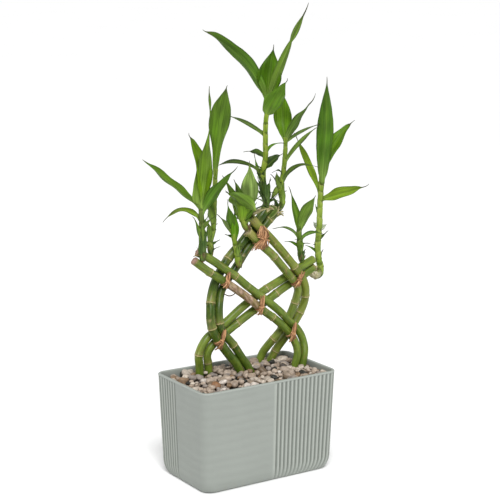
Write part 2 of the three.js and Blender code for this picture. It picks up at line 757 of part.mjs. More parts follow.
function pebbleBed(holes) {
  const draw = draws(filling.seed);
  const insetTop = pot.wall + clearance;
  const reachX = pot.length / 2 - insetTop - filling.stoneRadius - 0.5;
  const reachY = pot.width / 2 - insetTop - filling.stoneRadius - 0.5;
  const rows = Math.round((2 * reachY) / filling.stoneRows);
  const columns = Math.round((2 * reachX) / filling.stoneSpacing);
  const stones = [];
  for (let row = 0; row <= rows; row += 1) {
    const stagger = (row % 2) * 0.5;
    for (let column = 0; column <= columns - (row % 2); column += 1) {
      const jitterX = (draw() - 0.5) * 2.4;
      const jitterY = (draw() - 0.5) * 2.4;
      const x = -reachX + ((column + stagger) / columns) * 2 * reachX + jitterX;
      const y = -reachY + (row / rows) * 2 * reachY + jitterY;
      const size = filling.stoneRadius * (0.82 + 0.4 * draw());
      const radii = [size, size * (0.72 + 0.2 * draw()), size * (0.58 + 0.15 * draw())];
      const rise = draw() * 1.2 - filling.stoneSink;
      stones.push(stone([x, y, bedHeight(x, y) + rise], radii, draw() * Math.PI));
    }
  }
  const inset = insetTop + taperAt(filling.soilTop);
  const shape = outline(pot.length / 2 - inset, pot.width / 2 - inset, pot.rimCorner - pot.wall + 2);
  const heapRing = (share, heightAt) => {
    const ring = [];
    for (let side = 0; side < 8; side += 1) {
      const steps = side % 2 === 0 ? 2 : 3;
      for (let i = 0; i < steps; i += 1) {
        const [x, y] = shape(side, i / steps);
        ring.push(new THREE.Vector3(x * share, y * share, heightAt(x * share, y * share)));
      }
    }
    return ring;
  };
  const base = toSolid(loft([
    heapRing(1, () => filling.soilTop + clearance),
    heapRing(1, bedHeight),
    heapRing(0.8, bedHeight),
    heapRing(0.5, bedHeight),
  ]));
  const room = inside(filling.soilTop + clearance, pot.height + 8, clearance);
  return fuse([base, ...stones]).intersect(room).subtract(holes);
}

function soilBody(holes) {
  return inside(pot.floor + clearance, filling.soilTop, clearance).subtract(holes);
}

// Assembly
const plant = new THREE.Group();

function add(name, solid, finish) {
  const mesh = new THREE.Mesh(fromSolid(solid), finish);
  mesh.name = name;
  plant.add(mesh);
}

const glaze = material('glaze', colours.glaze, 0.55);
const soilFinish = material('soil', colours.soil, 0.95);
const stoneFinish = material('stones', colours.stone, 0.8);
const caneFinish = material('cane', colours.caneGreen, 0.4);
const leafFinish = material('leaf', colours.leafGreen, 0.45);
const raffiaFinish = material('raffia', colours.raffia, 0.8);

const holes = fuse(Object.values(canes).map((spec) => toSolid(caneRod(spec, clearance, false))));

add('pot', potBody().subtract(inside(pot.floor, pot.height + 1, 0)), glaze);
add('soil', soilBody(holes), soilFinish);
add('pebble_bed', pebbleBed(holes), stoneFinish);
Object.entries(canes).forEach(([name, spec]) => {
  add(name, toSolid(caneRod(spec, 0, true)), caneFinish);
});
Object.entries(shoots).forEach(([name, spec]) => add(name, shootBody(spec), leafFinish));
Object.entries(ties).forEach(([name, spec]) => add(name, tieBody(spec), raffiaFinish));

export default plant;
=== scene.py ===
import math
import random
from collections import namedtuple

import bmesh
import bpy
from mathutils import Matrix, Vector, noise


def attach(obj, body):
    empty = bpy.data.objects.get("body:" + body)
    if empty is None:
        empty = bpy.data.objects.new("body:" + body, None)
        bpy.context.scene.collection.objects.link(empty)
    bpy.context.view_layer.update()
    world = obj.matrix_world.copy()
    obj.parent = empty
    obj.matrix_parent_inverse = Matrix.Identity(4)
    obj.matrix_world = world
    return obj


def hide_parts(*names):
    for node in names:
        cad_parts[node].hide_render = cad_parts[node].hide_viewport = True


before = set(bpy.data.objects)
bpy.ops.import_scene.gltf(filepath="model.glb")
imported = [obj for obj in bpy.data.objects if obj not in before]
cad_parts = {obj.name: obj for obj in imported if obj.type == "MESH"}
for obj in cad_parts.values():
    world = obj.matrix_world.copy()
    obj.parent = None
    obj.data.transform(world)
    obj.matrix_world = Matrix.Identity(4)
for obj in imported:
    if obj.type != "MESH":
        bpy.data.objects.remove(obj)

bl_info = {
    "name": "Lucky bamboo",
    "version": (1, 0, 0),
    "blender": (4, 5, 0),
    "location": "View3D > Sidebar > Lucky bamboo",
    "description": "Builds the canes, shoots, ties, pebbles and pot of a lucky bamboo",
    "category": "Add Mesh",
}

MM = 0.001


def srgb(red, green, blue):
    """A colour of 0 to 255 parts as linear light."""
    out = []
    for part in (red, green, blue):
        share = part / 255.0
        out.append(share / 12.92 if share <= 0.04045 else ((share + 0.055) / 1.055) ** 2.4)
    return Vector(out)


# Depths of the two layers that the canes lie in where they cross
FRONT = 9.9
BACK = 18.6

# Canes: radius, radius at the foot, heights of the joints, tone of the cut end, and the route
# from the buried foot to the cut top
CANES = {
    "a1": (3.7, 3.5, (116, 170.5), "green", (
        (-36, 23, 42), (-37, 23, 70), (-38.5, 22.5, 90), (-39.5, 21.5, 104), (-41.2, 19.8, 112.5),
        (-41, 19, 117.5), (-38.5, BACK, 123.5), (-32.5, BACK, 131), (-20, BACK, 138.5),
        (-8.5, BACK, 145.5), (8, BACK, 156.5), (31.5, BACK, 169), (53, BACK, 178),
        (74, BACK, 187), (90, BACK, 193.5))),
    "a2": (3.7, 3.2, (107, 141, 164.5), "pink", (
        (-25, 23, 42), (-26, 23, 70), (-28, 22.5, 90), (-29.8, 21.4, 104.5), (-32, 19.6, 113),
        (-31, 18.9, 118), (-27.5, BACK, 122.5), (-17, BACK, 130), (-5.5, BACK, 137),
        (11.5, BACK, 146.5), (26, BACK, 154), (39.7, BACK, 161), (53, BACK, 168),
        (66, BACK, 173.8), (80.5, BACK, 180), (91, BACK, 185.3))),
    "b1": (4.1, 3.7, (142.5, 165.5, 205), "green", (
        (3.5, 6, 42), (3, 6, 72), (-0.5, 6.5, 90), (-7.2, 7.6, 105), (-12.5, 8.8, 112),
        (-17.3, 9.6, 118.5), (-26.2, FRONT, 131), (-31.6, FRONT, 141), (-33.3, 10.5, 150),
        (-32.2, 12.5, 157.6), (-30.2, 15.4, 165.7), (-27.2, 17.8, 173.7), (-22.7, BACK, 185),
        (-8.6, BACK, 205.2), (7, BACK, 219.2), (17.4, BACK, 230.3), (27.3, BACK, 240.8),
        (34, BACK, 248.2))),
    "b2": (3.7, 3.5, (122.5, 146.5, 238), "beige", (
        (14, 6, 42), (13, 6, 72), (9.6, 6.5, 92), (6, 7, 99.8), (-0.2, 8.3, 109.4),
        (-8.4, FRONT, 122.6), (-18.4, FRONT, 134.2), (-22.6, FRONT, 141.5), (-24, 10.5, 150),
        (-22.8, 13, 159.2), (-20.2, 15.9, 167.2), (-17.2, 17.9, 174.4), (-12, BACK, 182),
        (-0.6, BACK, 195), (10.7, BACK, 209.8), (22, BACK, 222.5), (34.6, BACK, 235),
        (45.5, BACK, 244.5))),
    "c1": (3.7, 3.3, (118.5, 154, 172.5, 203), "beige", (
        (29, 30, 42), (30, 30, 72), (32.5, 29.5, 92), (36.7, 27.7, 104.6), (39.8, 25, 110.6),
        (43.5, 21.9, 116.7), (48, 19.3, 122.8), (55.5, BACK, 131), (62, BACK, 140),
        (65.5, 16.9, 149.5), (67, 13.3, 160.5), (66.5, 11, 167.3), (63.7, FRONT, 173.5),
        (58.2, FRONT, 180), (46, FRONT, 193.8), (35, FRONT, 206), (24, FRONT, 215.5),
        (11.1, FRONT, 228), (8, FRONT, 231))),
    "c2": (3.8, 3.4, (104, 142, 160, 191, 232), "green", (
        (41, 30, 42), (42, 30, 72), (45, 29.5, 92), (51.2, 28.2, 103), (54.5, 25.5, 110),
        (58.5, 21.5, 118), (64, 18.8, 127.5), (70, BACK, 135.5), (74.5, 18.3, 142.5),
        (77.2, 16, 152), (77, 13.5, 160), (75, 10.8, 168.5), (72, FRONT, 176),
        (66, FRONT, 185.3), (54.5, FRONT, 198.8), (41, FRONT, 214), (30, FRONT, 225.3),
        (21, FRONT, 233.5), (15, FRONT, 240), (10.8, FRONT, 244))),
    "d1": (3.6, 2.9, (165.5, 189.5), "pink", (
        (62, 2, 42), (63, 1.5, 72), (65.3, 1, 92), (68.3, 2, 104), (69.8, 3.8, 109.5),
        (70.1, 6.5, 115.5), (68.8, 8.8, 122), (64.5, FRONT, 129), (57.6, FRONT, 135.4),
        (45.3, FRONT, 147.8), (38, FRONT, 154.2), (24, FRONT, 165.3), (7, FRONT, 178.3),
        (-7, FRONT, 190.2), (-16, FRONT, 196.3), (-30, 10.3, 206.5), (-38, 11.5, 211.7),
        (-46, 13, 216))),
    "d2": (3.6, 2.9, (144, 196.5), "pink", (
        (51, 3, 42), (53, 2.5, 72), (56.3, 2, 92), (60.3, 2.5, 104), (61.3, 4.5, 111),
        (60, 7.5, 118), (57, 9.8, 124.5), (51.7, FRONT, 130), (40, FRONT, 141),
        (28.3, FRONT, 149.7), (20.7, FRONT, 156), (11, FRONT, 164), (4.3, FRONT, 169.4),
        (-9.1, FRONT, 179.2), (-20.7, FRONT, 187.3), (-32, 9, 194.7), (-39, 8.5, 199.5),
        (-52, 8.5, 209.5))),
}

# A leaf: height up the shoot, heading in plan, length, lean from upright, arch, width, turn of
# the face, share of the length where it is widest, length of the dry hair at its tip, and how
# far it is moved off its place
Leaf = namedtuple("Leaf", "height bearing length lean arch width turn widest hair shift",
                  defaults=((0, 0, 0),))

# Shoots: radius at the foot and the top, the stem's route, and the leaves
SHOOTS = {
    "1": ((3.0, 2.2), ((-44.5, 6.5, 209.2), (-44, 6, 216), (-44.3, 6, 226), (-45, 6, 243),
                       (-46, 6, 260)), (
        (53, 165, 71, 49, 0, 9.6, 45, 0.5, 1),
        (38, 130, 35, 88, 9, 9, -25, 0.4, 4),
        (18, 150, 24, 18, 0, 5, 60, 0.4, 2),
        (50, 285, 110, 6, -4, 20, -10, 0.12, 4),
        (51, 95, 67, 15, 11, 16.5, -10, 0.5, 4),
        (44, 300, 55, 38, 2, 12, -45, 0.45, 6),
        (34, 325, 11, 31, 0, 3.5, 60, 0.3, 1))),
    "2": ((2.6, 2.0), ((-32, 12, 213), (-32.8, 12, 222), (-29.3, 12, 236), (-28, 12, 253),
                       (-27, 12, 279), (-26, 12, 293)), (
        (72, 271, 88, 13, 3, 20, -20, 0.6, 2),
        (37, 175, 20, 28, 0, 8, 45, 0.4, 2),
        (10, 325, 10, 60, 0, 2.4, 60, 0.3, 2),
        (17, 345, 8, 33, 0, 2.4, 60, 0.3, 2),
        (13, 145, 9.5, 20, 0, 2.4, -60, 0.3, 2))),
    "3": ((2.6, 2.1), ((-1, 11.3, 197), (-3, 11.3, 204), (-3.5, 11.6, 212), (-5, 12, 219),
                       (-6.5, 12, 226), (-9, 12, 235)), (
        (33, 135, 23, 38, 1, 5, -60, 0.4, 3),
        (34, 165, 32, 9, -1, 9, 45, 0.4, 2),
        (26, 60, 29, 17, 7, 8, 0, 0.4, 2),
        (31, 145, 8, 72, 0, 2.4, -60, 0.3, 2))),
    "4": ((2.8, 2.1), ((6.6, 10, 232.4), (3.5, 10, 238), (1, 10, 245)), (
        (6, 180, 39, 30, 5, 16, 45, 0.45, 2),
        (9, 115, 46, 28, 2, 8, -40, 0.45, 3),
        (7, 195, 45, 17, 3, 11, 35, 0.45, 2),
        (8, 305, 21, 43, 2, 8, -50, 0.4, 2))),
    "5": ((2.9, 2.0), ((34.8, BACK, 250.4), (33, BACK, 261), (31.3, BACK, 272), (30.5, BACK, 284),
                       (33, BACK, 295), (33.2, BACK, 316), (33.5, BACK, 332), (35, BACK, 343),
                       (35.3, BACK, 356)), (
        (101, 155, 88, 41, 9, 13.5, 60, 0.57, 4),
        (101, 305, 91, 23.5, 2, 9, -70, 0.3, 11),
        (103, 15, 50, 10, 1, 23, 40, 0.45, 3),
        (90, 277, 44, 41, 0, 18, -35, 0.4, 3),
        (70, 135, 40, 63, 2, 4.5, -60, 0.45, 2),
        (49, 165, 20, 70, 2, 7, 55, 0.45, 3),
        (49, 345, 21, 50, 5, 3, 60, 0.4, 3),
        (34, 125, 46, 83, 7, 4.5, -60, 0.65, 2),
        (37, 325, 22, 48, 1, 10, 60, 0.55, 3),
        (22, 115, 31, 20, -1, 4, -50, 0.4, 2),
        (3, 85, 30, 36, 0, 6, -10, 0.4, 2),
        (16, 335, 13, 27, 0, 2.4, 60, 0.3, 2))),
    "6": ((2.8, 1.9), ((46, BACK, 244.9), (50.5, BACK, 249), (53, BACK, 254), (51.5, BACK, 260.5),
                       (51.3, BACK, 271), (54, BACK, 282), (55, BACK, 290), (56, BACK, 304),
                       (56.3, BACK, 316)), (
        (67, 65, 48, 19, -8, 18, -10, 0.55, 3),
        (68, 310, 45, 33, 2, 9, -65, 0.4, 11),
        (68, 355, 40, 68, 2, 3.4, 60, 0.4, 3),
        (48, 320, 44, 41, 2, 5, -70, 0.5, 3),
        (28, 295, 44, 64, 9, 4.5, -70, 0.4, 3),
        (26, 165, 12, 19, 0, 6, 60, 0.4, 2),
        (18, 125, 21, 29, 2, 2.6, -60, 0.4, 2),
        (28, 155, 20, 147, 0, 6, -60, 0.4, 2),
        (4, 155, 8, 34, 0, 2.4, 60, 0.3, 2))),
    "7": ((2.9, 2.3), ((76, BACK, 192.4), (75, BACK, 198), (73.3, BACK, 208), (73, BACK, 218),
                       (72.5, BACK, 228)), (
        (30, 115, 43, 14, 1, 8, -40, 0.4, 4),
        (30, 285, 43, 27, 2, 12, -40, 0.5, 2),
        (24, 135, 27, 69, 6, 3.0, -60, 0.4, 2),
        (22, 340, 24, 74, 5, 4, 60, 0.45, 2),
        (10, 165, 20, 51, 4, 3.6, -60, 0.45, 1),
        (5, 145, 8, 25, 0, 2.6, -60, 0.3, 2),
        (3, 325, 8, 25, 0, 2.4, 60, 0.3, 2))),
    "8": ((3.1, 2.5), ((90, BACK, 179.1), (94.5, BACK, 176.2), (98.3, BACK, 178.7),
                       (98.8, BACK, 184.5), (96.6, BACK, 192), (95, BACK, 206), (96, BACK, 217),
                       (97, BACK, 230), (97.2, BACK, 244), (98, BACK, 257), (99, BACK, 271),
                       (100, BACK, 284)), (
        (91, 265, 100, 4, -1, 16.5, -25, 0.5, 4, (-0.6, -2.4, 0)),
        (97, 355, 60, 33, 5, 13.5, 40, 0.55, 5),
        (80, 130, 60, 24.5, 0, 7.8, -50, 0.5, 5),
        (74, 305, 47, 71, 0, 13, 60, 0.5, 6),
        (45, 165, 10, 38, 0, 6, 60, 0.4, 0),
        (45, 335, 9, 59, 0, 6, 60, 0.4, 0),
        (58, 155, 13, 21, 0, 4, 60, 0.4, 0),
        (34, 335, 13, 46, 0, 2.4, 60, 0.3, 2),
        (15, 155, 19, 42, 3, 3.4, -60, 0.45, 1),
        (16, 345, 9, 29, 0, 2.4, 60, 0.3, 2))),
    "9": ((2.8, 2.2), ((9.8, 10, 245.4), (9.8, 10, 251), (10.3, 10, 257)), (
        (7, 235, 46, 6, -3, 17, 0, 0.42, 2),
        (2, 335, 19, 15, -1, 5, 60, 0.4, 1),
        (5, 60, 30, 20, 2, 9, 0, 0.4, 2))),
}

# How far up a stem its dark foot reaches
DARK_FEET = {"1": 14, "2": 6, "5": 33, "6": 10, "7": 14, "8": 12}

# Tones of each shoot's stem: the shaded and the light green of its sheaths
STEM_TONES = {
    "1": (srgb(82, 104, 40), srgb(128, 146, 80)), "2": (srgb(98, 128, 34), srgb(160, 180, 84)),
    "3": (srgb(114, 146, 34), srgb(168, 190, 76)), "4": (srgb(110, 140, 40), srgb(164, 182, 80)),
    "5": (srgb(104, 140, 26), srgb(174, 192, 78)), "6": (srgb(94, 128, 30), srgb(156, 178, 72)),
    "7": (srgb(74, 108, 30), srgb(126, 150, 66)), "8": (srgb(120, 154, 42), srgb(184, 202, 98)),
    "9": (srgb(110, 144, 38), srgb(164, 184, 78)),
}

def leaf_look(low, high, **shape):
    """What sets a leaf apart: its tones low and high on the blade, and its shape."""
    return {"low": srgb(*low), "high": srgb(*high), **shape}


# How single leaves differ from the rest, by shoot and by place in its list: tones low and high
# on the blade, strength of the stripes, share of the length where it is pinched, where it has
# opened from its sheath, and how it widens and narrows
LOOKS = {
    "1.0": leaf_look((104, 146, 13), (84, 126, 19), rise=1.2, fall=0.75),
    "1.1": leaf_look((128, 158, 38), (116, 134, 69)),
    "1.3": leaf_look((118, 160, 22), (84, 112, 46), rise=0.8, open=0.06, fall=3.0),
    "1.4": leaf_look((112, 152, 14), (92, 128, 21), fall=0.9),
    "1.5": leaf_look((80, 128, 12), (70, 112, 12), stripes=0.2),
    "2.0": leaf_look((96, 142, 14), (90, 124, 24), rise=5.0, fall=1.0),
    "3.0": leaf_look((112, 134, 74), (104, 122, 84)),
    "4.0": leaf_look((136, 170, 44), (88, 124, 30), rise=0.8, open=0.1),
    "4.1": leaf_look((76, 108, 24), (62, 88, 24)),
    "4.2": leaf_look((84, 120, 24), (70, 98, 26)),
    "5.0": leaf_look((78, 124, 14), (66, 102, 12), rise=0.9, fall=0.6),
    "5.1": leaf_look((112, 146, 46), (96, 124, 44), pinch=0.69, stripes=0.5),
    "5.2": leaf_look((84, 130, 14), (70, 108, 17), stripes=0.5),
    "5.3": leaf_look((112, 166, 24), (96, 142, 24), rise=0.5, open=0.05),
    "5.4": leaf_look((84, 112, 34), (84, 104, 66)),
    "5.5": leaf_look((70, 104, 21), (66, 90, 52)),
    "5.7": leaf_look((76, 102, 40), (80, 98, 64)),
    "5.8": leaf_look((62, 88, 31), (62, 80, 54)),
    "6.0": leaf_look((106, 150, 30), (96, 138, 28), stripes=0.4),
    "6.1": leaf_look((90, 126, 35), (84, 108, 53)),
    "6.2": leaf_look((86, 112, 50), (96, 112, 84)),
    "6.3": leaf_look((104, 134, 46), (104, 128, 60)),
    "6.4": leaf_look((84, 112, 37), (76, 94, 62)),
    "6.7": leaf_look((128, 152, 66), (98, 116, 56)),
    "7.0": leaf_look((96, 132, 34), (78, 108, 36)),
    "7.1": leaf_look((122, 158, 52), (100, 134, 44), stripes=0.5),
    "7.2": leaf_look((100, 126, 66), (84, 104, 60)),
    "7.3": leaf_look((92, 128, 50), (78, 106, 46)),
    "8.0": leaf_look((72, 120, 8), (64, 106, 8), rise=0.85, open=0.1),
    "8.1": leaf_look((100, 144, 19), (92, 132, 25), fall=0.75),
    "8.2": leaf_look((126, 158, 36), (110, 138, 34)),
    "8.3": leaf_look((144, 176, 50), (128, 160, 50)),
    "8.4": leaf_look((222, 230, 206), (194, 202, 184)),
    "8.5": leaf_look((222, 230, 206), (194, 202, 184)),
    "9.0": leaf_look((156, 186, 98), (128, 160, 72), stripes=0.8),
}

# Small leaflets, bracts, husks and straws at the shoots' feet: groups of one tone, each row a
# leaf
BRACTS = {
    "5": (
        ("dark", (2, 225, 32, 62, 4, 1.6, 20, 0.4, 4), (9, 150, 16, 30, 3, 3.2, 40, 0.4, 2),
                 (14, 215, 20, 24, -3, 3.4, -20, 0.4, 3), (20, 100, 15, 34, 3, 3, 30, 0.4, 2),
                 (25, 260, 17, 22, 3, 3.4, -30, 0.4, 2), (29, 180, 16, 30, 3, 2.8, 30, 0.4, 3),
                 (7, 300, 13, 44, 4, 2.4, 20, 0.4, 2), (33, 320, 11, 40, 3, 2.4, -20, 0.4, 2),
                 (1, 330, 14, 70, 5, 1.8, 0, 0.4, 2), (4, 190, 15, 66, 6, 1.8, 0, 0.4, 2)),
        ("deep", (0.5, 200, 27, 11, 1, 8, 15, 0.35, 2), (5, 285, 25, 8, 1, 8, -15, 0.35, 2),
                 (9, 235, 22, 5, 0, 8, 0, 0.35, 1), (0, 165, 33, 33, 2, 4.4, 30, 0.35, 3),
                 (3, 175, 30, 22, 2, 5.6, 30, 0.35, 3), (12, 170, 24, 13, 2, 5.4, 40, 0.4, 3)),
        ("fresh", (1, 150, 17, 58, 3, 4.4, 10, 0.4, 2)),
        ("deep", (0, 300, 13, 30, 2, 5, -10, 0.4, 1)),
        ("straw", (2, 150, 23, 136, 0, 3.2, 0, 0.4, 1), (1, 155, 17, 108, 0, 2.4, 0, 0.4, 1),
                  (2, 335, 18, 118, 1, 1.6, 0, 0.4, 1))),
    "6": (
        ("dark", (31, 190, 15, 52, 6, 2.4, 20, 0.4, 2), (9, 200, 14, 60, 6, 1.8, 0, 0.4, 2),
                 (22, 240, 12, 46, 4, 2, 20, 0.4, 2), (14, 330, 8, 30, 2, 2, 0, 0.4, 1)),
        ("fresh", (8, 250, 22, 7, 1, 6.5, 0, 0.35, 1), (15, 200, 20, 8, 1, 6, 20, 0.35, 1),
                  (24, 160, 15, 12, -1, 6, 40, 0.5, 1)),
        ("deep", (3, 200, 16, 22, 1, 6, 0, 0.4, 1)),
        ("straw", (0.5, 165, 17, 122, 0, 1.6, 0, 0.4, 1), (1, 150, 16, 74, 1, 2.4, 0, 0.4, 1)),
        ("split", (0, 327, 20, 40, 0, 10.5, 60, 0.88, 0.3, (-12.6, 2.6, -8.5)))),
    "4": (
        ("lime", (10, 205, 27, 13, 0, 26, 0, 0.8, 0, (-0.6, 0.4, 0))),
        ("fresh", (5, 130, 15, 62, 3, 7, 30, 0.45, 2)),
        ("veined", (10, 150, 32, 57, 2, 13, 70, 0.45, 1, (4.0, -15.0, 12))),
        ("deep", (10, 100, 30, 8, 1, 5, 0, 0.4, 3)),
        ("fresh", (3, 320, 14, 40, 2, 6, -20, 0.4, 2))),
    "9": (
        ("deep", (1, 150, 24, 48, 2, 6, 20, 0.45, 2), (0, 320, 20, 55, 3, 5, -20, 0.45, 2)),
        ("fresh", (1, 290, 16, 24, 1, 5, -10, 0.4, 2)),
        ("straw", (0, 345, 22, 70, 2, 2.4, 0, 0.4, 2), (0, 175, 14, 66, 3, 3, 0, 0.4, 1))),
    "1": (
        ("dark", (6, 190, 10, 22, 2, 2.6, 30, 0.4, 2), (12, 330, 11, 26, 2, 2.6, -30, 0.4, 2),
                 (26, 205, 9, 30, 2, 2.4, 30, 0.4, 2)),
        ("deep", (2, 225, 28, 7, 1, 7.5, 10, 0.35, 1), (10, 290, 26, 6, 1, 7, -10, 0.35, 1)),
        ("veined", (4, 165, 38, 10, 3, 6.4, 50, 0.4, 4)),
        ("fresh", (20, 240, 20, 8, 0, 7, 0, 0.35, 1), (26, 320, 20, 34, 2, 8, -30, 0.4, 2)),
        ("husk", (0, 200, 10, 44, 3, 5, 0, 0.4, 1), (1, 150, 9, 60, 3, 5, 30, 0.4, 1))),
    "2": (
        ("dark", (4, 200, 9, 40, 2, 2.2, 30, 0.4, 2), (23, 320, 8, 30, 2, 2.2, -30, 0.4, 2)),
        ("fresh", (0, 250, 20, 6, 1, 6, 0, 0.35, 1), (14, 200, 22, 6, 1, 6, 10, 0.35, 1),
                  (30, 170, 24, 14, 1, 10, 30, 0.4, 1)),
        ("dark", (0, 180, 12, 30, 2, 3, 0, 0.4, 1), (0, 320, 12, 44, 2, 3, 0, 0.4, 1))),
    "3": (
        ("dark", (8, 200, 7, 40, 2, 2, 30, 0.4, 1), (16, 330, 7, 40, 2, 2, 30, 0.4, 1)),
        ("fresh", (2, 225, 20, 6, 1, 5.6, 10, 0.35, 1), (12, 280, 18, 8, 1, 5.6, -10, 0.4, 1))),
    "7": (
        ("veined", (1, 235, 18, 6, 1, 6, 0, 0.35, 1), (11, 280, 16, 8, 1, 6, -10, 0.35, 1)),
        ("deep", (6, 320, 10, 16, 1, 4, -30, 0.4, 1)),
        ("dark", (12, 330, 12, 50, 4, 1.8, 0, 0.4, 2), (18, 190, 9, 40, 2, 2.2, 20, 0.4, 2))),
    "8": (
        ("dark", (9, 200, 9, 40, 2, 2.2, 20, 0.4, 2), (24, 190, 9, 44, 3, 2, 20, 0.4, 2),
                 (38, 200, 8, 40, 2, 2.2, 20, 0.4, 2)),),
}

# Tones of a bract: at its root, over its middle, towards its tip, and dry
BRACT_TONES = {
    "dark": (srgb(82, 104, 46), srgb(58, 90, 28), srgb(44, 68, 26), srgb(46, 44, 28)),
    "deep": (srgb(110, 136, 72), srgb(64, 96, 40), srgb(44, 72, 30), srgb(40, 42, 24)),
    "fresh": (srgb(138, 160, 72), srgb(120, 150, 54), srgb(104, 132, 50), srgb(78, 84, 40)),
    "lime": (srgb(142, 164, 56), srgb(114, 154, 24), srgb(98, 136, 24), srgb(78, 84, 40)),
    "veined": (srgb(134, 160, 72), srgb(110, 146, 44), srgb(96, 132, 38), srgb(60, 70, 36)),
    "split": (srgb(150, 158, 92), srgb(88, 116, 50), srgb(112, 132, 66), srgb(206, 198, 150)),
    "husk": (srgb(140, 104, 76), srgb(170, 132, 104), srgb(146, 116, 82), srgb(96, 66, 46)),
    "straw": (srgb(178, 172, 122), srgb(204, 196, 148), srgb(186, 172, 124), srgb(130, 106, 70)),
}

# Dry burls at the foot of a shoot: route and radii
BURLS = {
    "8": (((87.6, BACK, 181.6), (90.4, BACK, 178.3), (94.2, BACK, 177.2), (97.0, BACK, 179.8),
           (97.9, BACK, 184.0)), (3.9, 4.3, 4.2, 3.7, 2.9)),
}

# Ties: number of strands in the bunch, the front cane that the knot sits on, the back cane that
# it binds, and the top, knot and foot of the bunch as x, z and width
TIES = {
    "low_left": (13, "b1", "a2", ((-21, 141, 3), (-24.5, 129, 4.5), (-29, 121.5, 8))),
    "low_right": (13, "d2", "c1", ((59.7, 137, 3), (57, 125, 5.5), (55.7, 117.5, 8.5))),
    "middle": (12, "d2", "a1", ((21.8, 169, 4), (20.5, 157, 5), (17, 149, 5.5))),
    "left": (11, "d2", "b1", ((-16.3, 196, 3), (-18, 186, 4), (-19.5, 179.5, 6))),
    "right": (12, "c1", "a1", ((68.2, 186.5, 6), (64, 178, 5), (60.5, 170.5, 4.5))),
    "top": (30, "c1", "b2", ((20.5, 236, 4.5), (22.5, 223, 13), (17, 212, 15))),
}

# Pot
POT_LENGTH, POT_WIDTH, POT_HEIGHT = 150.0, 90.0, 98.0
WALL = 3.2
TAPER = 3.2
RIM_CORNER, FOOT_CORNER = 9.0, 12.0
FOOT_INSET, FOOT_ROUND = 4.6, 13.0
RIM_BAND, RIM_ROUND = 1.4, 0.9
RIBBED_FRONT, RIBBED_SIDE = 71.0, 39.0
RIB_PITCH, RIB_RUNOUT, GROOVE_SHARE = 4.7, 1.2, 0.9
RIPPLE_PITCH = 8.3
INNER_HEIGHTS = (94.0, 90.0, 85.0, 79.0)
BED_EDGE, BED_CROWN = 91.0, 4.5

# Where the ribs run out under the rim: how far below its band, and share of their depth
RIB_END = ((0.8, 0.8), (0.4, 0.3), (0.0, 0.0))

# How finely the pot's skin is cut up
STEPS_PER_RIB, PLAIN_STEPS = 10, 44
FOOT_STEPS, WALL_STEPS, RIM_STEPS = 12, 64, 5

# How much lighter the glaze is on the rim and its lip, partly a pale break in the glaze and partly
# painted highlight, and how much darker inside, as painted shade
RIM_BREAK_AND_HIGHLIGHT, LIP_BREAK_AND_HIGHLIGHT, INNER_PAINTED_SHADE = 1.16, 1.1, 0.96


def smooth(low, high, value):
    """0 at low and before it, 1 at high and past it, and a soft change between."""
    share = min(max((value - low) / (high - low), 0.0), 1.0)
    return share * share * (3.0 - 2.0 * share)


def mix(first, second, share):
    """A share of the way from the first value to the second."""
    return first + (second - first) * min(max(share, 0.0), 1.0)


def hill(distance, width, power=2):
    """1 in the middle, and next to nothing two widths away."""
    return math.exp(-(distance / width) ** power)


def even_steps(length, step, least=1):
    """Distances from 0 to a length, about a step apart."""
    count = max(least, round(length / step))
    return [length * i / count for i in range(count + 1)]


def on_rod(angle, height, radius=1.0):
    """A place on an upright rod, for a pattern that closes round it."""
    return Vector((math.cos(angle) * radius, math.sin(angle) * radius, height))


class Path:
    """A smooth line through given points, measured along its length."""

    def __init__(self, points, spans=24):
        knots = [Vector(p) for p in points]
        knots = [knots[0] * 2 - knots[1]] + knots + [knots[-1] * 2 - knots[-2]]
        self.spots = [knots[1].copy()]
        for i in range(1, len(knots) - 2):
            before, start, end, after = knots[i - 1:i + 3]
            gap = [max((b - a).length ** 0.5, 1e-4)
                   for a, b in ((before, start), (start, end), (end, after))]
            leave = ((start - before) / gap[0] - (end - before) / (gap[0] + gap[1])
                     + (end - start) / gap[1]) * gap[1]
            arrive = ((end - start) / gap[1] - (after - start) / (gap[1] + gap[2])
                      + (after - end) / gap[2]) * gap[1]
            for step in range(1, spans + 1):
                s = step / spans
                self.spots.append(
                    start + leave * s
                    + (start * -3 + end * 3 - leave * 2 - arrive) * s ** 2
                    + (start * 2 - end * 2 + leave + arrive) * s ** 3)
        self.marks = [0.0]
        for a, b in zip(self.spots, self.spots[1:]):
            self.marks.append(self.marks[-1] + (b - a).length)
        self.length = self.marks[-1]

    def _cell(self, distance):
        """The short piece of line that a distance falls in, and the distance kept on the line."""
        distance = min(max(distance, 0.0), self.length)
        low, high = 0, len(self.marks) - 2
        while low < high:
            half = (low + high + 1) // 2
            if self.marks[half] <= distance:
                low = half
            else:
                high = half - 1
        return low, distance

    def spot(self, distance):
        """The point at a distance from the start."""
        i, distance = self._cell(distance)
        span = max(self.marks[i + 1] - self.marks[i], 1e-9)
        return self.spots[i].lerp(self.spots[i + 1], (distance - self.marks[i]) / span)

    def heading(self, distance):
        """The way the line runs at a distance from the start."""
        ahead = self.spot(min(distance + 0.4, self.length))
        return (ahead - self.spot(max(distance - 0.4, 0.0))).normalized()

    def at_height(self, height):
        """The distance at which the line last passes a height."""
        for i in range(len(self.spots) - 1, 0, -1):
            low, high = self.spots[i - 1].z, self.spots[i].z
            if low <= height <= high:
                share = (height - low) / max(high - low, 1e-6)
                return self.marks[i - 1] + share * (self.marks[i] - self.marks[i - 1])
        return self.length


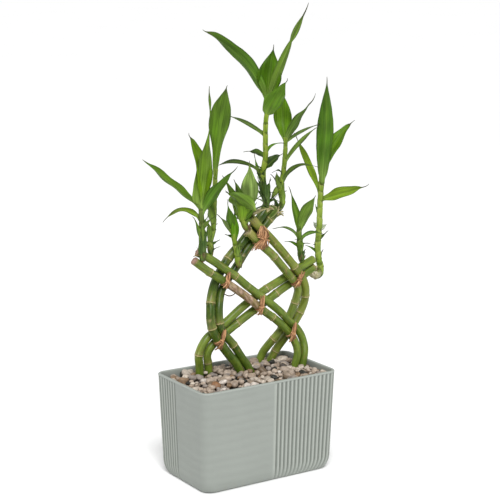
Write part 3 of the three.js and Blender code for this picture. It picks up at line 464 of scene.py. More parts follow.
class Shape:
    """Points, faces, tints and grain of one piece, gathered and then made into an object."""

    def __init__(self):
        self.points = []
        self.faces = []
        self.tints = []
        self.grains = []

    def add(self, point, tint, grain):
        """One point, with its colour and its place in the pattern."""
        self.points.append(tuple(c * MM for c in point))
        self.tints.append((tint[0], tint[1], tint[2], 1.0))
        self.grains.append(tuple(grain))
        return len(self.points) - 1

    def ring(self, spots, tints, grains):
        """A row of points."""
        return [self.add(p, t, g) for p, t, g in zip(spots, tints, grains)]

    def join(self, lower, upper):
        """The band of faces between two rings."""
        count = len(lower)
        for i in range(count):
            j = (i + 1) % count
            self.faces.append((lower[i], lower[j], upper[j], upper[i]))

    def close(self, ring, flip=False):
        """One face that closes a ring."""
        self.faces.append(tuple(reversed(ring)) if flip else tuple(ring))

    def skin(self, rings, closed=False):
        """A closed skin over rings: a rod, or a hoop if closed."""
        for lower, upper in zip(rings, rings[1:]):
            self.join(lower, upper)
        if closed:
            self.join(rings[-1], rings[0])
        else:
            self.close(rings[0], flip=True)
            self.close(rings[-1])

    def close_sheet(self, top, under):
        """A thin closed sheet between the rows of its two sides."""
        for i in range(len(top) - 1):
            a, b, c, d = top[i], top[i + 1], under[i], under[i + 1]
            for k in range(len(a) - 1):
                self.faces.append((a[k], b[k], b[k + 1], a[k + 1]))
                self.faces.append((c[k], c[k + 1], d[k + 1], d[k]))
            self.faces.append((a[0], c[0], d[0], b[0]))
            self.faces.append((a[-1], b[-1], d[-1], c[-1]))
        self.close(top[0] + under[0][::-1])
        self.close(top[-1][::-1] + under[-1])

    def make(self, name, finish, nodes, flat_angle=None):
        """The object, riding on the root and standing for its nodes."""
        mesh = bpy.data.meshes.new(name)
        mesh.from_pydata(self.points, [], self.faces)
        tint = mesh.attributes.new("tint", "FLOAT_COLOR", "POINT")
        tint.data.foreach_set("color", [c for row in self.tints for c in row])
        grain = mesh.attributes.new("grain", "FLOAT_VECTOR", "POINT")
        grain.data.foreach_set("vector", [c for row in self.grains for c in row])
        mesh.polygons.foreach_set("use_smooth", [True] * len(mesh.polygons))
        mesh.validate()
        mesh.update()
        piece = bpy.data.objects.new(name, mesh)
        bpy.context.scene.collection.objects.link(piece)
        if flat_angle is not None:
            mesh.set_sharp_from_angle(angle=math.radians(flat_angle))
        piece.data.materials.append(finish)
        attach(piece, "root")
        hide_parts(*nodes)


def frames(path, distances):
    """Middle, heading and two cross directions at each distance, turned as little as can be."""
    normal = Vector((0, 1, 0))
    out = []
    for distance in distances:
        heading = path.heading(distance)
        normal = (normal - heading * normal.dot(heading)).normalized()
        out.append((path.spot(distance), heading, normal.copy(), heading.cross(normal)))
    return out


def tube(shape, path, distances, sides, radius_at, tint_at):
    """A rod along a path. Its grain is that of the straightened rod."""
    rings = []
    for distance, (middle, _, normal, across) in zip(distances, frames(path, distances)):
        spots, tints, grains = [], [], []
        for k in range(sides):
            # ridge_highlight: painted highlight, a lighter tone on the crest of each rib
            angle = 2 * math.pi * k / sides
            # groove: painted shade, a darker tone in the bottom of each groove
            cos, sin = math.cos(angle), math.sin(angle)
            radius = radius_at(distance, angle)
            spots.append(middle + normal * (radius * cos) + across * (radius * sin))
            tints.append(tint_at(distance, angle))
            grains.append((radius * cos, radius * sin, distance))
        rings.append(shape.ring(spots, tints, grains))
    return rings


# Finishes
class Nodes:
    """A short way to write a node tree."""

    def __init__(self, name):
        self.finish = bpy.data.materials.new(name)
        self.finish.use_nodes = True
        self.tree = self.finish.node_tree
        self.shader = self.tree.nodes["Principled BSDF"]

    def new(self, kind, **values):
        node = self.tree.nodes.new(kind)
        for key, value in values.items():
            setattr(node, key, value)
        return node

    def link(self, source, target):
        self.tree.links.new(source, target)

    def attributes(self):
        """The colour of each point, and its place in the pattern."""
        tint = self.new("ShaderNodeAttribute", attribute_name="tint")
        grain = self.new("ShaderNodeAttribute", attribute_name="grain")
        return tint.outputs["Color"], grain.outputs["Vector"]

    def stretched(self, vector, scale):
        node = self.new("ShaderNodeMapping")
        node.inputs["Scale"].default_value = scale
        self.link(vector, node.inputs["Vector"])
        return node.outputs["Vector"]

    def noise(self, vector, scale, detail=4.0, roughness=0.55):
        node = self.new("ShaderNodeTexNoise")
        node.inputs["Scale"].default_value = scale
        node.inputs["Detail"].default_value = detail
        node.inputs["Roughness"].default_value = roughness
        self.link(vector, node.inputs["Vector"])
        return node.outputs["Fac"]

    def remap(self, value, low, high, to_low, to_high):
        node = self.new("ShaderNodeMapRange")
        for key, number in (("From Min", low), ("From Max", high),
                            ("To Min", to_low), ("To Max", to_high)):
            node.inputs[key].default_value = number
        self.link(value, node.inputs["Value"])
        return node.outputs["Result"]

    def scaled(self, colour, value):
        node = self.new("ShaderNodeVectorMath", operation="SCALE")
        self.link(colour, node.inputs[0])
        self.link(value, node.inputs["Scale"])
        return node.outputs["Vector"]

    def blended(self, share, first, second):
        """The first colour, laid over with a fixed second one by a share."""
        node = self.new("ShaderNodeMix", data_type="RGBA")
        self.link(share, node.inputs["Factor"])
        self.link(first, node.inputs[6])
        node.inputs[7].default_value = (*second, 1.0)
        return node.outputs[2]

    def bump(self, height, strength, distance):
        node = self.new("ShaderNodeBump")
        node.inputs["Strength"].default_value = strength
        node.inputs["Distance"].default_value = distance
        self.link(height, node.inputs["Height"])
        self.link(node.outputs["Normal"], self.shader.inputs["Normal"])

    def colour(self, socket):
        self.link(socket, self.shader.inputs["Base Color"])

    def rough(self, socket):
        self.link(socket, self.shader.inputs["Roughness"])

    def shine(self, level):
        self.shader.inputs["Specular IOR Level"].default_value = level


def cane_finish():
    """Waxy green with long streaks, olive patches and brown specks."""
    n = Nodes("waxy cane")
    tint, grain = n.attributes()
    streaks = n.noise(n.stretched(grain, (1.6, 1.6, 0.07)), 1.0, 5.0)
    patches = n.noise(grain, 0.16, 3.0)
    specks = n.noise(n.stretched(grain, (1.0, 1.0, 0.5)), 1.9, 2.0)
    shade = n.remap(streaks, 0.3, 0.7, 0.44, 0.98)
    colour = n.scaled(tint, shade)
    patch = n.remap(patches, 0.46, 0.72, 0.0, 0.3)
    colour = n.blended(patch, colour, srgb(128, 138, 44))
    speck = n.remap(specks, 0.66, 0.74, 0.0, 0.5)
    n.colour(n.blended(speck, colour, srgb(92, 76, 44)))
    n.rough(n.remap(patches, 0.3, 0.7, 0.27, 0.42))
    n.bump(streaks, 0.25, 0.0004)
    n.shine(0.25)
    return n.finish


def leaf_finish():
    """Satin green with veins along the blade."""
    n = Nodes("satin leaf")
    tint, grain = n.attributes()
    veins = n.noise(n.stretched(grain, (1.5, 1.0, 0.03)), 1.0, 4.0, 0.65)
    broad = n.noise(n.stretched(grain, (0.5, 1.0, 0.02)), 1.0, 2.0)
    shade = n.remap(veins, 0.32, 0.68, 0.36, 0.84)
    colour = n.scaled(tint, shade)
    light = n.remap(broad, 0.5, 0.75, 0.0, 0.24)
    n.colour(n.blended(light, colour, srgb(112, 144, 30)))
    n.rough(n.remap(veins, 0.3, 0.7, 0.34, 0.48))
    n.bump(veins, 0.45, 0.0003)
    n.shine(0.07)
    return n.finish


def raffia_finish():
    """Dry straw with fibres along each strand."""
    n = Nodes("dry raffia")
    tint, grain = n.attributes()
    fibres = n.noise(n.stretched(grain, (3.5, 3.5, 0.12)), 1.0, 4.0)
    n.colour(n.scaled(tint, n.remap(fibres, 0.3, 0.7, 0.72, 1.25)))
    n.rough(n.remap(fibres, 0.3, 0.7, 0.62, 0.8))
    n.bump(fibres, 0.6, 0.0003)
    n.shine(0.25)
    return n.finish


def pebble_finish():
    """Mottled stone with dark specks."""
    n = Nodes("washed pebbles")
    tint, grain = n.attributes()
    mottle = n.noise(grain, 0.42, 5.0, 0.6)
    specks = n.noise(grain, 1.7, 3.0)
    colour = n.scaled(tint, n.remap(mottle, 0.3, 0.7, 0.8, 1.2))
    speck = n.remap(specks, 0.62, 0.72, 0.0, 0.4)
    n.colour(n.blended(speck, colour, srgb(92, 76, 62)))
    n.rough(n.remap(mottle, 0.3, 0.7, 0.42, 0.62))
    n.bump(mottle, 0.35, 0.0005)
    n.shine(0.4)
    return n.finish


def glaze_finish():
    """A matt grey-green glaze with faint clouds and specks."""
    n = Nodes("matt sage glaze")
    tint, grain = n.attributes()
    cloud = n.noise(grain, 0.035, 4.0)
    fine = n.noise(grain, 1.4, 4.0)
    colour = n.scaled(tint, n.remap(cloud, 0.3, 0.7, 0.97, 1.03))
    speck = n.remap(fine, 0.68, 0.76, 0.0, 0.14)
    n.colour(n.blended(speck, colour, srgb(112, 114, 104)))
    n.rough(n.remap(fine, 0.3, 0.7, 0.5, 0.62))
    n.bump(fine, 0.12, 0.0002)
    n.shine(0.4)
    return n.finish


def soil_finish():
    """Dark crumbs."""
    n = Nodes("growing mix")
    place = n.new("ShaderNodeTexCoord").outputs["Object"]
    crumbs = n.noise(place, 900.0, 5.0)
    dark = n.new("ShaderNodeRGB")
    dark.outputs[0].default_value = (*srgb(44, 32, 24), 1.0)
    n.colour(n.scaled(dark.outputs[0], n.remap(crumbs, 0.3, 0.7, 0.5, 1.5)))
    n.rough(n.remap(crumbs, 0.3, 0.7, 0.85, 0.98))
    n.bump(crumbs, 0.8, 0.001)
    return n.finish


def floor_finish():
    """A matt floor, nearly white."""
    n = Nodes("pale floor")
    place = n.new("ShaderNodeTexCoord").outputs["Object"]
    cloud = n.noise(place, 2.0, 2.0)
    light = n.new("ShaderNodeRGB")
    light.outputs[0].default_value = (0.9, 0.9, 0.9, 1.0)
    n.colour(n.scaled(light.outputs[0], n.remap(cloud, 0.3, 0.7, 0.995, 1.005)))
    n.rough(n.remap(cloud, 0.3, 0.7, 0.8, 0.9))
    n.shine(0.1)
    return n.finish


# Pot
def outline_spot(inset, corner, side, share):
    """A point of the rounded outline. Even sides are corners and odd ones straight."""
    a = POT_LENGTH / 2 - inset - corner
    b = POT_WIDTH / 2 - inset - corner
    quarter = side // 2
    turn = quarter * math.pi / 2
    corner_x = (a, -a, -a, a)[quarter]
    corner_y = (b, b, -b, -b)[quarter]
    if side % 2 == 0:
        angle = turn + share * math.pi / 2
        return corner_x + corner * math.cos(angle), corner_y + corner * math.sin(angle)
    next_x = (-a, -a, a, a)[quarter]
    next_y = (b, -b, -b, b)[quarter]
    angle = turn + math.pi / 2
    return (corner_x + (next_x - corner_x) * share + corner * math.cos(angle),
            corner_y + (next_y - corner_y) * share + corner * math.sin(angle))


def taper_at(height):
    """How far the wall leans in at a height."""
    return TAPER * (1 - height / POT_HEIGHT)


def groove_at(share):
    """Depth of the groove, as a share of the full depth, at a share of the way over a rib."""
    if abs(share - 0.5) >= GROOVE_SHARE / 2:
        return 0
    return math.cos(math.pi * (share - 0.5) / GROOVE_SHARE) ** 2


def pot_stations():
    """Places round the outline: side, share of it, groove, ribbed or not, and way along it."""
    corner_run = RIM_CORNER * math.pi / 2
    runs = [corner_run, POT_LENGTH - 2 * RIM_CORNER, corner_run, POT_WIDTH - 2 * RIM_CORNER] * 2
    starts = [sum(runs[:i]) for i in range(8)]
    total = sum(runs)
    ribbed_length = RIBBED_FRONT + RIBBED_SIDE - 2 * RIM_CORNER + corner_run
    plain_length = total / 2 - ribbed_length
    ribs = round(ribbed_length / RIB_PITCH)
    pitch = ribbed_length / ribs
    front_start = starts[5] + POT_LENGTH - RIM_CORNER - RIBBED_FRONT
    places = []
    for half in range(2):
        start = front_start - half * total / 2
        for i in range(ribs * STEPS_PER_RIB):
            depth = groove_at((i % STEPS_PER_RIB) / STEPS_PER_RIB)
            places.append((start + (i / STEPS_PER_RIB) * pitch, depth, 1.0))
        for i in range(PLAIN_STEPS):
            place = start + ribbed_length + plain_length * i / PLAIN_STEPS
            places.append((place, 0.0, 0.0))
    out = []
    for s, depth, ribbed in sorted((s % total, d, r) for s, d, r in places):
        side = max(i for i in range(8) if starts[i] <= s + 1e-9)
        out.append((side, (s - starts[side]) / runs[side], depth, ribbed, s))
    return out


def build_pot(settings):
    """The pot's outer wall, foot, rim and inner wall in one skin."""
    shape = Shape()
    stations = pot_stations()
    plain, ridge_highlight, groove = Vector(settings.glaze), Vector(settings.ridge_highlight), Vector(settings.groove)
    groove_depth, ripple_height = settings.groove_depth / MM, settings.ripple / MM

    # light scales the ring's tone: painted highlight on the rim and lip, painted shade on the inner
    # wall
    def ring(height, inset, corner, cut, light=1.0, ripple=0.0):
        spots, tints, grains = [], [], []
        for side, share, depth, ribbed, s in stations:
            sway = noise.noise(Vector((s * 0.02, height * 0.035, 3.0)))
            wave = math.sin(height * 2 * math.pi / RIPPLE_PITCH + 2.5 * sway) * (0.6 + 0.6 * sway)
            sunk = depth * cut * groove_depth - (1 - ribbed) * ripple * wave * ripple_height
            x, y = outline_spot(inset + sunk, max(corner - sunk, 0.5), side, share)
            spots.append((x, y, height))
            # Painted light on the ribs: lighter on the crests, and painted shade that deepens with
            # the groove
            tone = mix(mix(plain, ridge_highlight, ribbed * min(cut, 1.0)), groove, depth * min(cut, 1.0))
            # The tone follows the throwing ripples: painted light and shade on them
            tints.append(tone * light * (1 + 0.012 * wave * ripple))
            grains.append((x, y, height))
        return shape.ring(spots, tints, grains)

    rings = []
    for i in range(FOOT_STEPS + 1):
        angle = (i / FOOT_STEPS) * math.pi / 2
        height = FOOT_ROUND * (1 - math.cos(angle))
        inset = taper_at(height) + FOOT_INSET * (1 - math.sin(angle))
        corner = FOOT_CORNER - (FOOT_CORNER - RIM_CORNER) * i / FOOT_STEPS
        rings.append(ring(height, inset, corner, i / FOOT_STEPS, 1.0, i / FOOT_STEPS))
    band = POT_HEIGHT - RIM_BAND
    for i in range(1, WALL_STEPS + 1):
        height = FOOT_ROUND + (band - RIB_RUNOUT - FOOT_ROUND) * i / WALL_STEPS
        rings.append(ring(height, taper_at(height), RIM_CORNER, 1.0, 1.0, 1.0))
    for below, cut in RIB_END:
        rings.append(ring(band - below, taper_at(band - below), RIM_CORNER, cut))
    for i in range(RIM_STEPS + 1):
        angle = (i / RIM_STEPS) * math.pi / 2
        height = POT_HEIGHT - RIM_ROUND + RIM_ROUND * math.sin(angle)
        rings.append(ring(height, RIM_ROUND * (1 - math.cos(angle)), RIM_CORNER, 0.0, RIM_BREAK_AND_HIGHLIGHT))
    for i in range(RIM_STEPS + 1):
        angle = (i / RIM_STEPS) * math.pi / 2
        height = POT_HEIGHT - RIM_ROUND + RIM_ROUND * math.cos(angle)
        inset = WALL - RIM_ROUND + RIM_ROUND * math.sin(angle)
        rings.append(ring(height, inset, RIM_CORNER - inset, 0.0, LIP_BREAK_AND_HIGHLIGHT))
    for height in INNER_HEIGHTS:
        inset = WALL + taper_at(height)
        rings.append(ring(height, inset, RIM_CORNER - WALL, 0.0, INNER_PAINTED_SHADE))
    shape.skin(rings)
    shape.make("pot_shell", glaze_finish(), ["pot"], 50)


# Pebbles
# Two layers of stones: how far above the bed, and how the spacing is squeezed
LAYERS = ((-3.0, 0.95), (0.7, 1.0))

# Gap between rows as a share of the spacing, and how far a stone is shaken off its place
ROW_GAP, SHAKE = 0.87, 0.55

# How near a stone comes to a wall, a cane and another stone, as a share of its size, and how
# near to a cane it is dropped
WALL_FIT, CANE_FIT, STONE_FIT, CANE_LEAST = 0.92, 0.86, 0.66, 0.6

# Facets that wear a stone, and how sharply they meet
FACETS, FACET_POWER = 9, 9

# Two stones that stand out in the photo: place, half size, height above the bed, and tone
SINGLE_STONES = ((-43.3, -14.7, 5.3, 0.5, srgb(128, 92, 62)),
                 (41.7, -1.9, 4.3, 1.2, srgb(66, 58, 52)))

# Tones of the stones, and how often each is drawn beside the others
PEBBLE_TONES = (
    (srgb(168, 152, 136), 28), (srgb(146, 130, 114), 24), (srgb(180, 168, 154), 14),
    (srgb(136, 126, 118), 14), (srgb(198, 188, 178), 5), (srgb(128, 104, 80), 9),
    (srgb(104, 88, 70), 6), (srgb(40, 40, 34), 7),
)

# Rings of the grit under the stones: share of the pot's inside, and depth below the bed
GRIT_RINGS = ((1.0, 9.0), (1.0, 3.4), (0.8, 3.0), (0.5, 3.0), (0.15, 3.0))
GRIT_TONE = srgb(52, 42, 34)


def bed_height(x, y):
    """Height of the dressing's crowned top."""
    reach_x = POT_LENGTH / 2 - WALL
    reach_y = POT_WIDTH / 2 - WALL
    crown = max(0, 1 - (x / reach_x) ** 4) * max(0, 1 - (y / reach_y) ** 4)
    toward_back = 1 + 0.25 * (y / reach_y) + 0.15 * (x / reach_x)
    return BED_EDGE + BED_CROWN * crown * toward_back


def ball_grid():
    """A round ball as points and faces, fine enough for a pebble."""
    grid = bmesh.new()
    bmesh.ops.create_icosphere(grid, subdivisions=3, radius=1.0)
    points = [v.co.copy() for v in grid.verts]
    faces = [tuple(v.index for v in f.verts) for f in grid.faces]
    grid.free()
    return points, faces


def scatter_stones(settings, reach_x, reach_y, rng):
    """Stones in shaken rows, as place, half size, height above the bed, and tone."""
    spacing = settings.spacing / MM
    stones = list(SINGLE_STONES)
    tones, weights = zip(*PEBBLE_TONES)
    for base, squeeze in LAYERS:
        rows = int(2 * reach_y / (spacing * ROW_GAP * squeeze))
        columns = int(2 * reach_x / (spacing * squeeze))
        for row in range(rows + 1):
            for column in range(columns + 1):
                x = -reach_x + 2 * reach_x * (column + 0.5 * (row % 2)) / columns
                y = -reach_y + 2 * reach_y * row / rows
                x += (rng.random() - 0.5) * spacing * SHAKE
                y += (rng.random() - 0.5) * spacing * SHAKE
                size = (settings.smallest + (settings.largest - settings.smallest)
                        * rng.random() ** 1.6) / MM / 2
                size = size * (1.15 if base < 0 else 1.0)
                tone = rng.choices(tones, weights)[0] * rng.uniform(0.86, 1.1)
                stones.append((x, y, size, base + rng.uniform(-0.9, 1.1), tone))
    return stones


def settle_stones(stones, reach_x, reach_y):
    """Push the stones off the walls and the canes, and drop those that have no room."""
    feet = []
    for _, foot, _, _, route in CANES.values():
        path = Path(route)
        feet.append((path.spot(path.at_height(BED_EDGE + 5)), foot))
    placed = []
    for x, y, size, lift, tone in stones:
        limit_x, limit_y = reach_x - size * WALL_FIT, reach_y - size * WALL_FIT
        x = min(max(x, -limit_x), limit_x)
        y = min(max(y, -limit_y), limit_y)
        for spot, radius in feet:
            away = Vector((x - spot.x, y - spot.y))
            need = radius + size * CANE_FIT
            if away.length < need:
                away = away.normalized() * need if away.length > 0.1 else Vector((need, 0))
                x, y = spot.x + away.x, spot.y + away.y
        if any((Vector((x, y)) - Vector((spot.x, spot.y))).length < radius + size * CANE_LEAST
               for spot, radius in feet):
            continue
        near = (o for o in placed if o[3] * lift > 0 or abs(o[3] - lift) < 1.2)
        if any(math.hypot(o[0] - x, o[1] - y) < (o[2] + size) * STONE_FIT for o in near):
            continue
        placed.append((x, y, size, lift, tone))
    return placed


def add_stone(shape, grid, stone, rng):
    """A worn stone: a ball with soft facets, mottled."""
    points, faces = grid
    x, y, size, lift, tone = stone
    radii = Vector((size * rng.uniform(0.95, 1.15), size * rng.uniform(0.78, 0.95),
                    size * rng.uniform(0.58, 0.8)))
    spin = Matrix.Rotation(rng.uniform(0, math.tau), 3, "Z") @ Matrix.Rotation(
        rng.uniform(-0.5, 0.5), 3, "X") @ Matrix.Rotation(rng.uniform(-0.5, 0.5), 3, "Y")
    middle = Vector((x, y, bed_height(x, y) + lift))
    seed = Vector((rng.uniform(0, 90), rng.uniform(0, 90), rng.uniform(0, 90)))
    facets = [(Vector((rng.gauss(0, 1), rng.gauss(0, 1), rng.gauss(0, 1))).normalized(),
               rng.uniform(0.72, 0.98)) for _ in range(FACETS)]
    base = len(shape.points)
    for p in points:
        near = sum(max(p.dot(way) / reach, 0.0) ** FACET_POWER for way, reach in facets) + 0.55
        bulge = near ** (-1 / FACET_POWER) * (1 + 0.12 * noise.noise(p * 1.6 + seed))
        local = spin @ Vector((p.x * radii.x, p.y * radii.y, p.z * radii.z)) * bulge
        shade = 1 + 0.45 * noise.noise(p * 1.6 - seed)
        shape.add(middle + local, tone * shade, local + seed * 3)
    shape.faces.extend(tuple(base + i for i in face) for face in faces)


def build_pebbles(settings):
    """The two layers of stones, as one piece."""
    rng = random.Random(41)
    reach_x = POT_LENGTH / 2 - WALL - 0.5
    reach_y = POT_WIDTH / 2 - WALL - 0.5
    shape = Shape()
    grid = ball_grid()
    stones = scatter_stones(settings, reach_x, reach_y, rng)
    for stone in settle_stones(stones, reach_x, reach_y):
        add_stone(shape, grid, stone, rng)
    shape.make("pebbles", pebble_finish(), ["pebble_bed"])


def build_grit():
    """The dark grit that shows between the stones."""
    shape = Shape()
    rings = []
    for share, drop in GRIT_RINGS:
        spots = []
        for side in range(8):
            steps = 5 if side % 2 == 0 else 16
            for i in range(steps):
                x, y = outline_spot(WALL + 0.9, RIM_CORNER - WALL, side, i / steps)
                x, y = x * share, y * share
                spots.append((x, y, bed_height(x, y) - drop))
        rings.append(shape.ring(spots, [GRIT_TONE] * len(spots), spots))
    shape.skin(rings)
    shape.make("grit_under_pebbles", soil_finish(), ["pebble_bed"])


# Canes
# How much thicker a cane's skin is than its solid, in radius
SWELL = 0.3

# Heights of the leaf scars between the joints
SCARS = {
    "a1": (172,), "b1": (150,), "b2": (206,), "c1": (190, 181), "c2": (217, 203),
    "d1": (146, 178), "d2": (186, 151),
}

# Frayed fibres at the cut end: how many, and how long
FRAYS = {
    "a2": (4, 3.0), "b1": (10, 8.0), "b2": (15, 9.0), "c1": (5, 3.5), "c2": (6, 4.5),
    "d1": (4, 3.0),
}
FRAY_TONES = (srgb(216, 206, 156), srgb(196, 184, 126), srgb(150, 150, 84), srgb(88, 98, 44))

# A thin root that hangs from a cane
ROOTLETS = {"d2": ((-8.6, 5.4, 174.6), (-12.5, 4.6, 173), (-17, 4.2, 172.8), (-22.5, 4.4, 175.4))}
ROOTLET_TONE = srgb(84, 70, 56)

# Heights between which a cane is covered with dead bark, and how soon the bark fades in
BARK = {"d2": (154.5, 187.5)}
BARK_FADE = 4.0

# Tone that each cane leans to, and how far
CANE_TONES = {
    "a1": (srgb(128, 152, 62), 0.35), "a2": (srgb(120, 144, 58), 0.35),
    "b1": (srgb(40, 72, 10), 0.8), "b2": (srgb(38, 70, 14), 0.8),
    "c1": (srgb(132, 148, 68), 0.35), "c2": (srgb(140, 146, 60), 0.4),
    "d1": (srgb(110, 136, 54), 0.3), "d2": (srgb(98, 122, 50), 0.3),
}

# Tones of a cut face, and of the marks on a cane
CUT_TONES = {"pink": srgb(172, 134, 114), "beige": srgb(186, 170, 126), "green": srgb(136, 146, 80)}
MARK_TONES = {
    "above joint": srgb(164, 172, 88), "seam": srgb(92, 70, 36), "dark spot": srgb(136, 112, 72),
    "pale spot": srgb(206, 192, 150), "yellow top": srgb(170, 158, 90), "scar": srgb(188, 172, 124),
    "scar edge": srgb(104, 76, 48), "blemish": srgb(134, 112, 66), "bark": srgb(146, 110, 84),
    "bare wood": srgb(202, 172, 148), "crack": srgb(74, 54, 36),
}

# Joints: how far they stand out, the seam cut round them, and the bud above them
JOINT_RISE, JOINT_SPREAD, JOINT_REACH = 0.4, 1.3, 6
SEAM_DEPTH, SEAM_WIDTH, SEAM_ABOVE = 0.3, 0.25, 0.2
BUD_RISE, BUD_TURN, BUD_LENGTH, BUD_ABOVE = 0.42, 0.32, 1.2, 1.8

# Distance between a cane's rings along its length and near a joint, and points in a ring
RING_STEP, JOINT_STEP, JOINT_STEPS, CANE_SIDES = 1.6, 0.3, 8, 24

# Rings that close a cut end: share of the radius, how far out, and share of the light
CUT_RINGS = ((0.96, 0.35, 0.6), (0.86, 0.45, 0.8), (0.8, 0.2, 0.66), (0.45, 0.05, 1.0),
             (0.12, 0.1, 0.82))


def joint_tone(tone, gap, around, ring_tone):
    """The tone of a cane near a joint: spots, a pale ring and dark seams."""
    ragged = 0.5 * noise.noise(around * 4)
    blotch = smooth(0.0, 0.4, noise.noise(around * 3 + Vector((0, 0, 9))))
    pale = smooth(-0.1, 0.25, noise.noise(around * 1.9 + Vector((3, 0, 1))))
    spotted = mix(MARK_TONES["dark spot"], MARK_TONES["pale spot"], pale)
    tone = mix(tone, spotted, 0.65 * blotch * hill(gap, 2.4))
    tone = mix(tone, ring_tone, 0.95 * hill(gap + ragged, 0.6, 4))
    tone = mix(tone, MARK_TONES["seam"], 0.85 * hill(gap - 0.5 + ragged, 0.28))
    return mix(tone, MARK_TONES["seam"], 0.3 * hill(gap + 1.1 + ragged, 0.35))


def bark_tone(tone, s, angle, share):
    """The tone of a cane where dead bark covers it by a share."""
    streak = noise.noise(on_rod(angle, s * 0.18, 2.5))
    crack = noise.noise(on_rod(angle, s * 0.3, 5))
    bark = mix(MARK_TONES["bark"], MARK_TONES["bare wood"], 0.45 + 1.6 * streak)
    bark = mix(bark, MARK_TONES["crack"], 0.65 * smooth(0.1, 0.3, crack))
    return mix(tone, bark, share * (0.9 + 0.3 * streak))


def scar_tone(tone, gap, around, mark):
    """The tone of a cane near an old leaf scar."""
    ragged = smooth(-0.15, 0.2, noise.noise(around * 2.7 + Vector((mark, 0, 0))))
    tone = mix(tone, MARK_TONES["scar"], 0.75 * ragged * hill(gap, 1.0))
    return mix(tone, MARK_TONES["scar edge"], 0.6 * ragged * hill(gap - 1.1, 0.5))


def build_cane(name, settings):
    """A cane with its joints, buds, scars and frayed cut end."""
    radius, foot, joints, cut, route = CANES[name]
    radius, foot = radius + SWELL, foot + SWELL
    path = Path(route)
    length = path.length
    marks = [path.at_height(height) for height in joints]
    scars = [path.at_height(height) for height in SCARS.get(name, ())]
    seed = Vector((sum(ord(c) for c in name) * 1.7, 0, 0))
    deep, light, ring_tone = Vector(settings.deep), Vector(settings.light), Vector(settings.ring)
    own_tone, lean = CANE_TONES[name]
    buds = [(mark, (1.2 + 2.4 * i + seed.x) % math.tau) for i, mark in enumerate(marks)]

    def radius_at(s, angle):
        body = foot + (radius - foot) * min(s / length / 0.35, 1.0)
        around = on_rod(angle, s * 0.05) + seed
        body *= 1 + 0.018 * noise.noise(around * 1.3)
        for mark in marks:
            gap = s - mark
            if abs(gap) < JOINT_REACH:
                body += (JOINT_RISE * hill(gap, JOINT_SPREAD)
                         - SEAM_DEPTH * hill(gap - SEAM_ABOVE, SEAM_WIDTH))
        for mark, bearing in buds:
            turn = (angle - bearing + math.pi) % math.tau - math.pi
            above = s - mark - BUD_ABOVE
            if abs(above) < 4 and abs(turn) < 1.0:
                body += BUD_RISE * math.exp(-(turn / BUD_TURN) ** 2 - (above / BUD_LENGTH) ** 2)
        end = length - s
        if end < JOINT_REACH:
            body += 0.3 * noise.noise(around * 2.4) * (1 - end / JOINT_REACH)
        return body

    def tint_at(s, angle):
        around = on_rod(angle, s * 0.06) * 1.4 + seed
        tone = mix(deep, light, 0.5 + 0.75 * noise.noise(around))
        tone = mix(tone, own_tone, lean * smooth(0.1, 0.9, s / length + 0.3))
        gaps = [s - mark for mark in marks]
        above = min((gap for gap in gaps if gap >= 0), default=99)
        tone = mix(tone, MARK_TONES["above joint"], 0.5 * math.exp(-above / 5.0))
        if name in BARK:
            low, high = BARK[name]
            height = path.spot(s).z
            covered = smooth(low, low + BARK_FADE, height)
            covered *= 1 - smooth(high - BARK_FADE, high, height)
            tone = bark_tone(tone, s, angle, covered)
        for gap in gaps:
            tone = joint_tone(tone, gap, around, ring_tone)
        if name in ("c1", "c2"):
            tone = mix(tone, MARK_TONES["yellow top"], 0.6 * smooth(15, 3, length - s))
        for mark in scars:
            tone = scar_tone(tone, s - mark, around, mark)
        blemish = noise.noise(around * 2.2 + Vector((7, 3, 1)))
        tone = mix(tone, MARK_TONES["blemish"], 0.7 * smooth(0.42, 0.6, blemish))
        return mix(tone, CUT_TONES[cut], 0.7 * smooth(2.2, 0.3, length - s))

    distances = even_steps(length, RING_STEP)
    for mark in marks:
        distances = [s for s in distances if abs(s - mark) > JOINT_STEP * JOINT_STEPS]
        near = [mark + step * JOINT_STEP for step in range(-JOINT_STEPS, JOINT_STEPS + 1)]
        distances += [s for s in near if 0 < s < length]
    shape = Shape()
    rings = tube(shape, path, sorted(set(distances)), CANE_SIDES, radius_at, tint_at)
    end = frames(path, [length])[0]
    rings += cut_face(shape, rings[-1], end, CUT_TONES[cut])
    shape.skin(rings)
    rng = random.Random(name)
    fray(shape, end, radius, FRAYS.get(name, (0, 0.0)), rng)
    if name in ROOTLETS:
        ribbon(shape, ROOTLETS[name], 0.6, 0.5, 0.5, ROOTLET_TONE, rng)
    shape.make(f"cane_{name}_skin", shared_finish("cane"), [f"cane_{name}"])


def cut_face(shape, last_ring, end, tone):
    """The rings of a saw cut, with a slight rim and a rough middle."""
    middle, heading, _, _ = end
    rim = [Vector(shape.points[i]) / MM for i in last_ring]
    rings = []
    for share, lift, light in CUT_RINGS:
        spots = [middle + (p - middle) * share + heading * (lift + 0.25 * noise.noise(p * 0.9))
                 for p in rim]
        tints = [tone * light * (1 + 0.25 * noise.noise(p * 1.6)) for p in spots]
        rings.append(shape.ring(spots, tints, spots))
    return rings


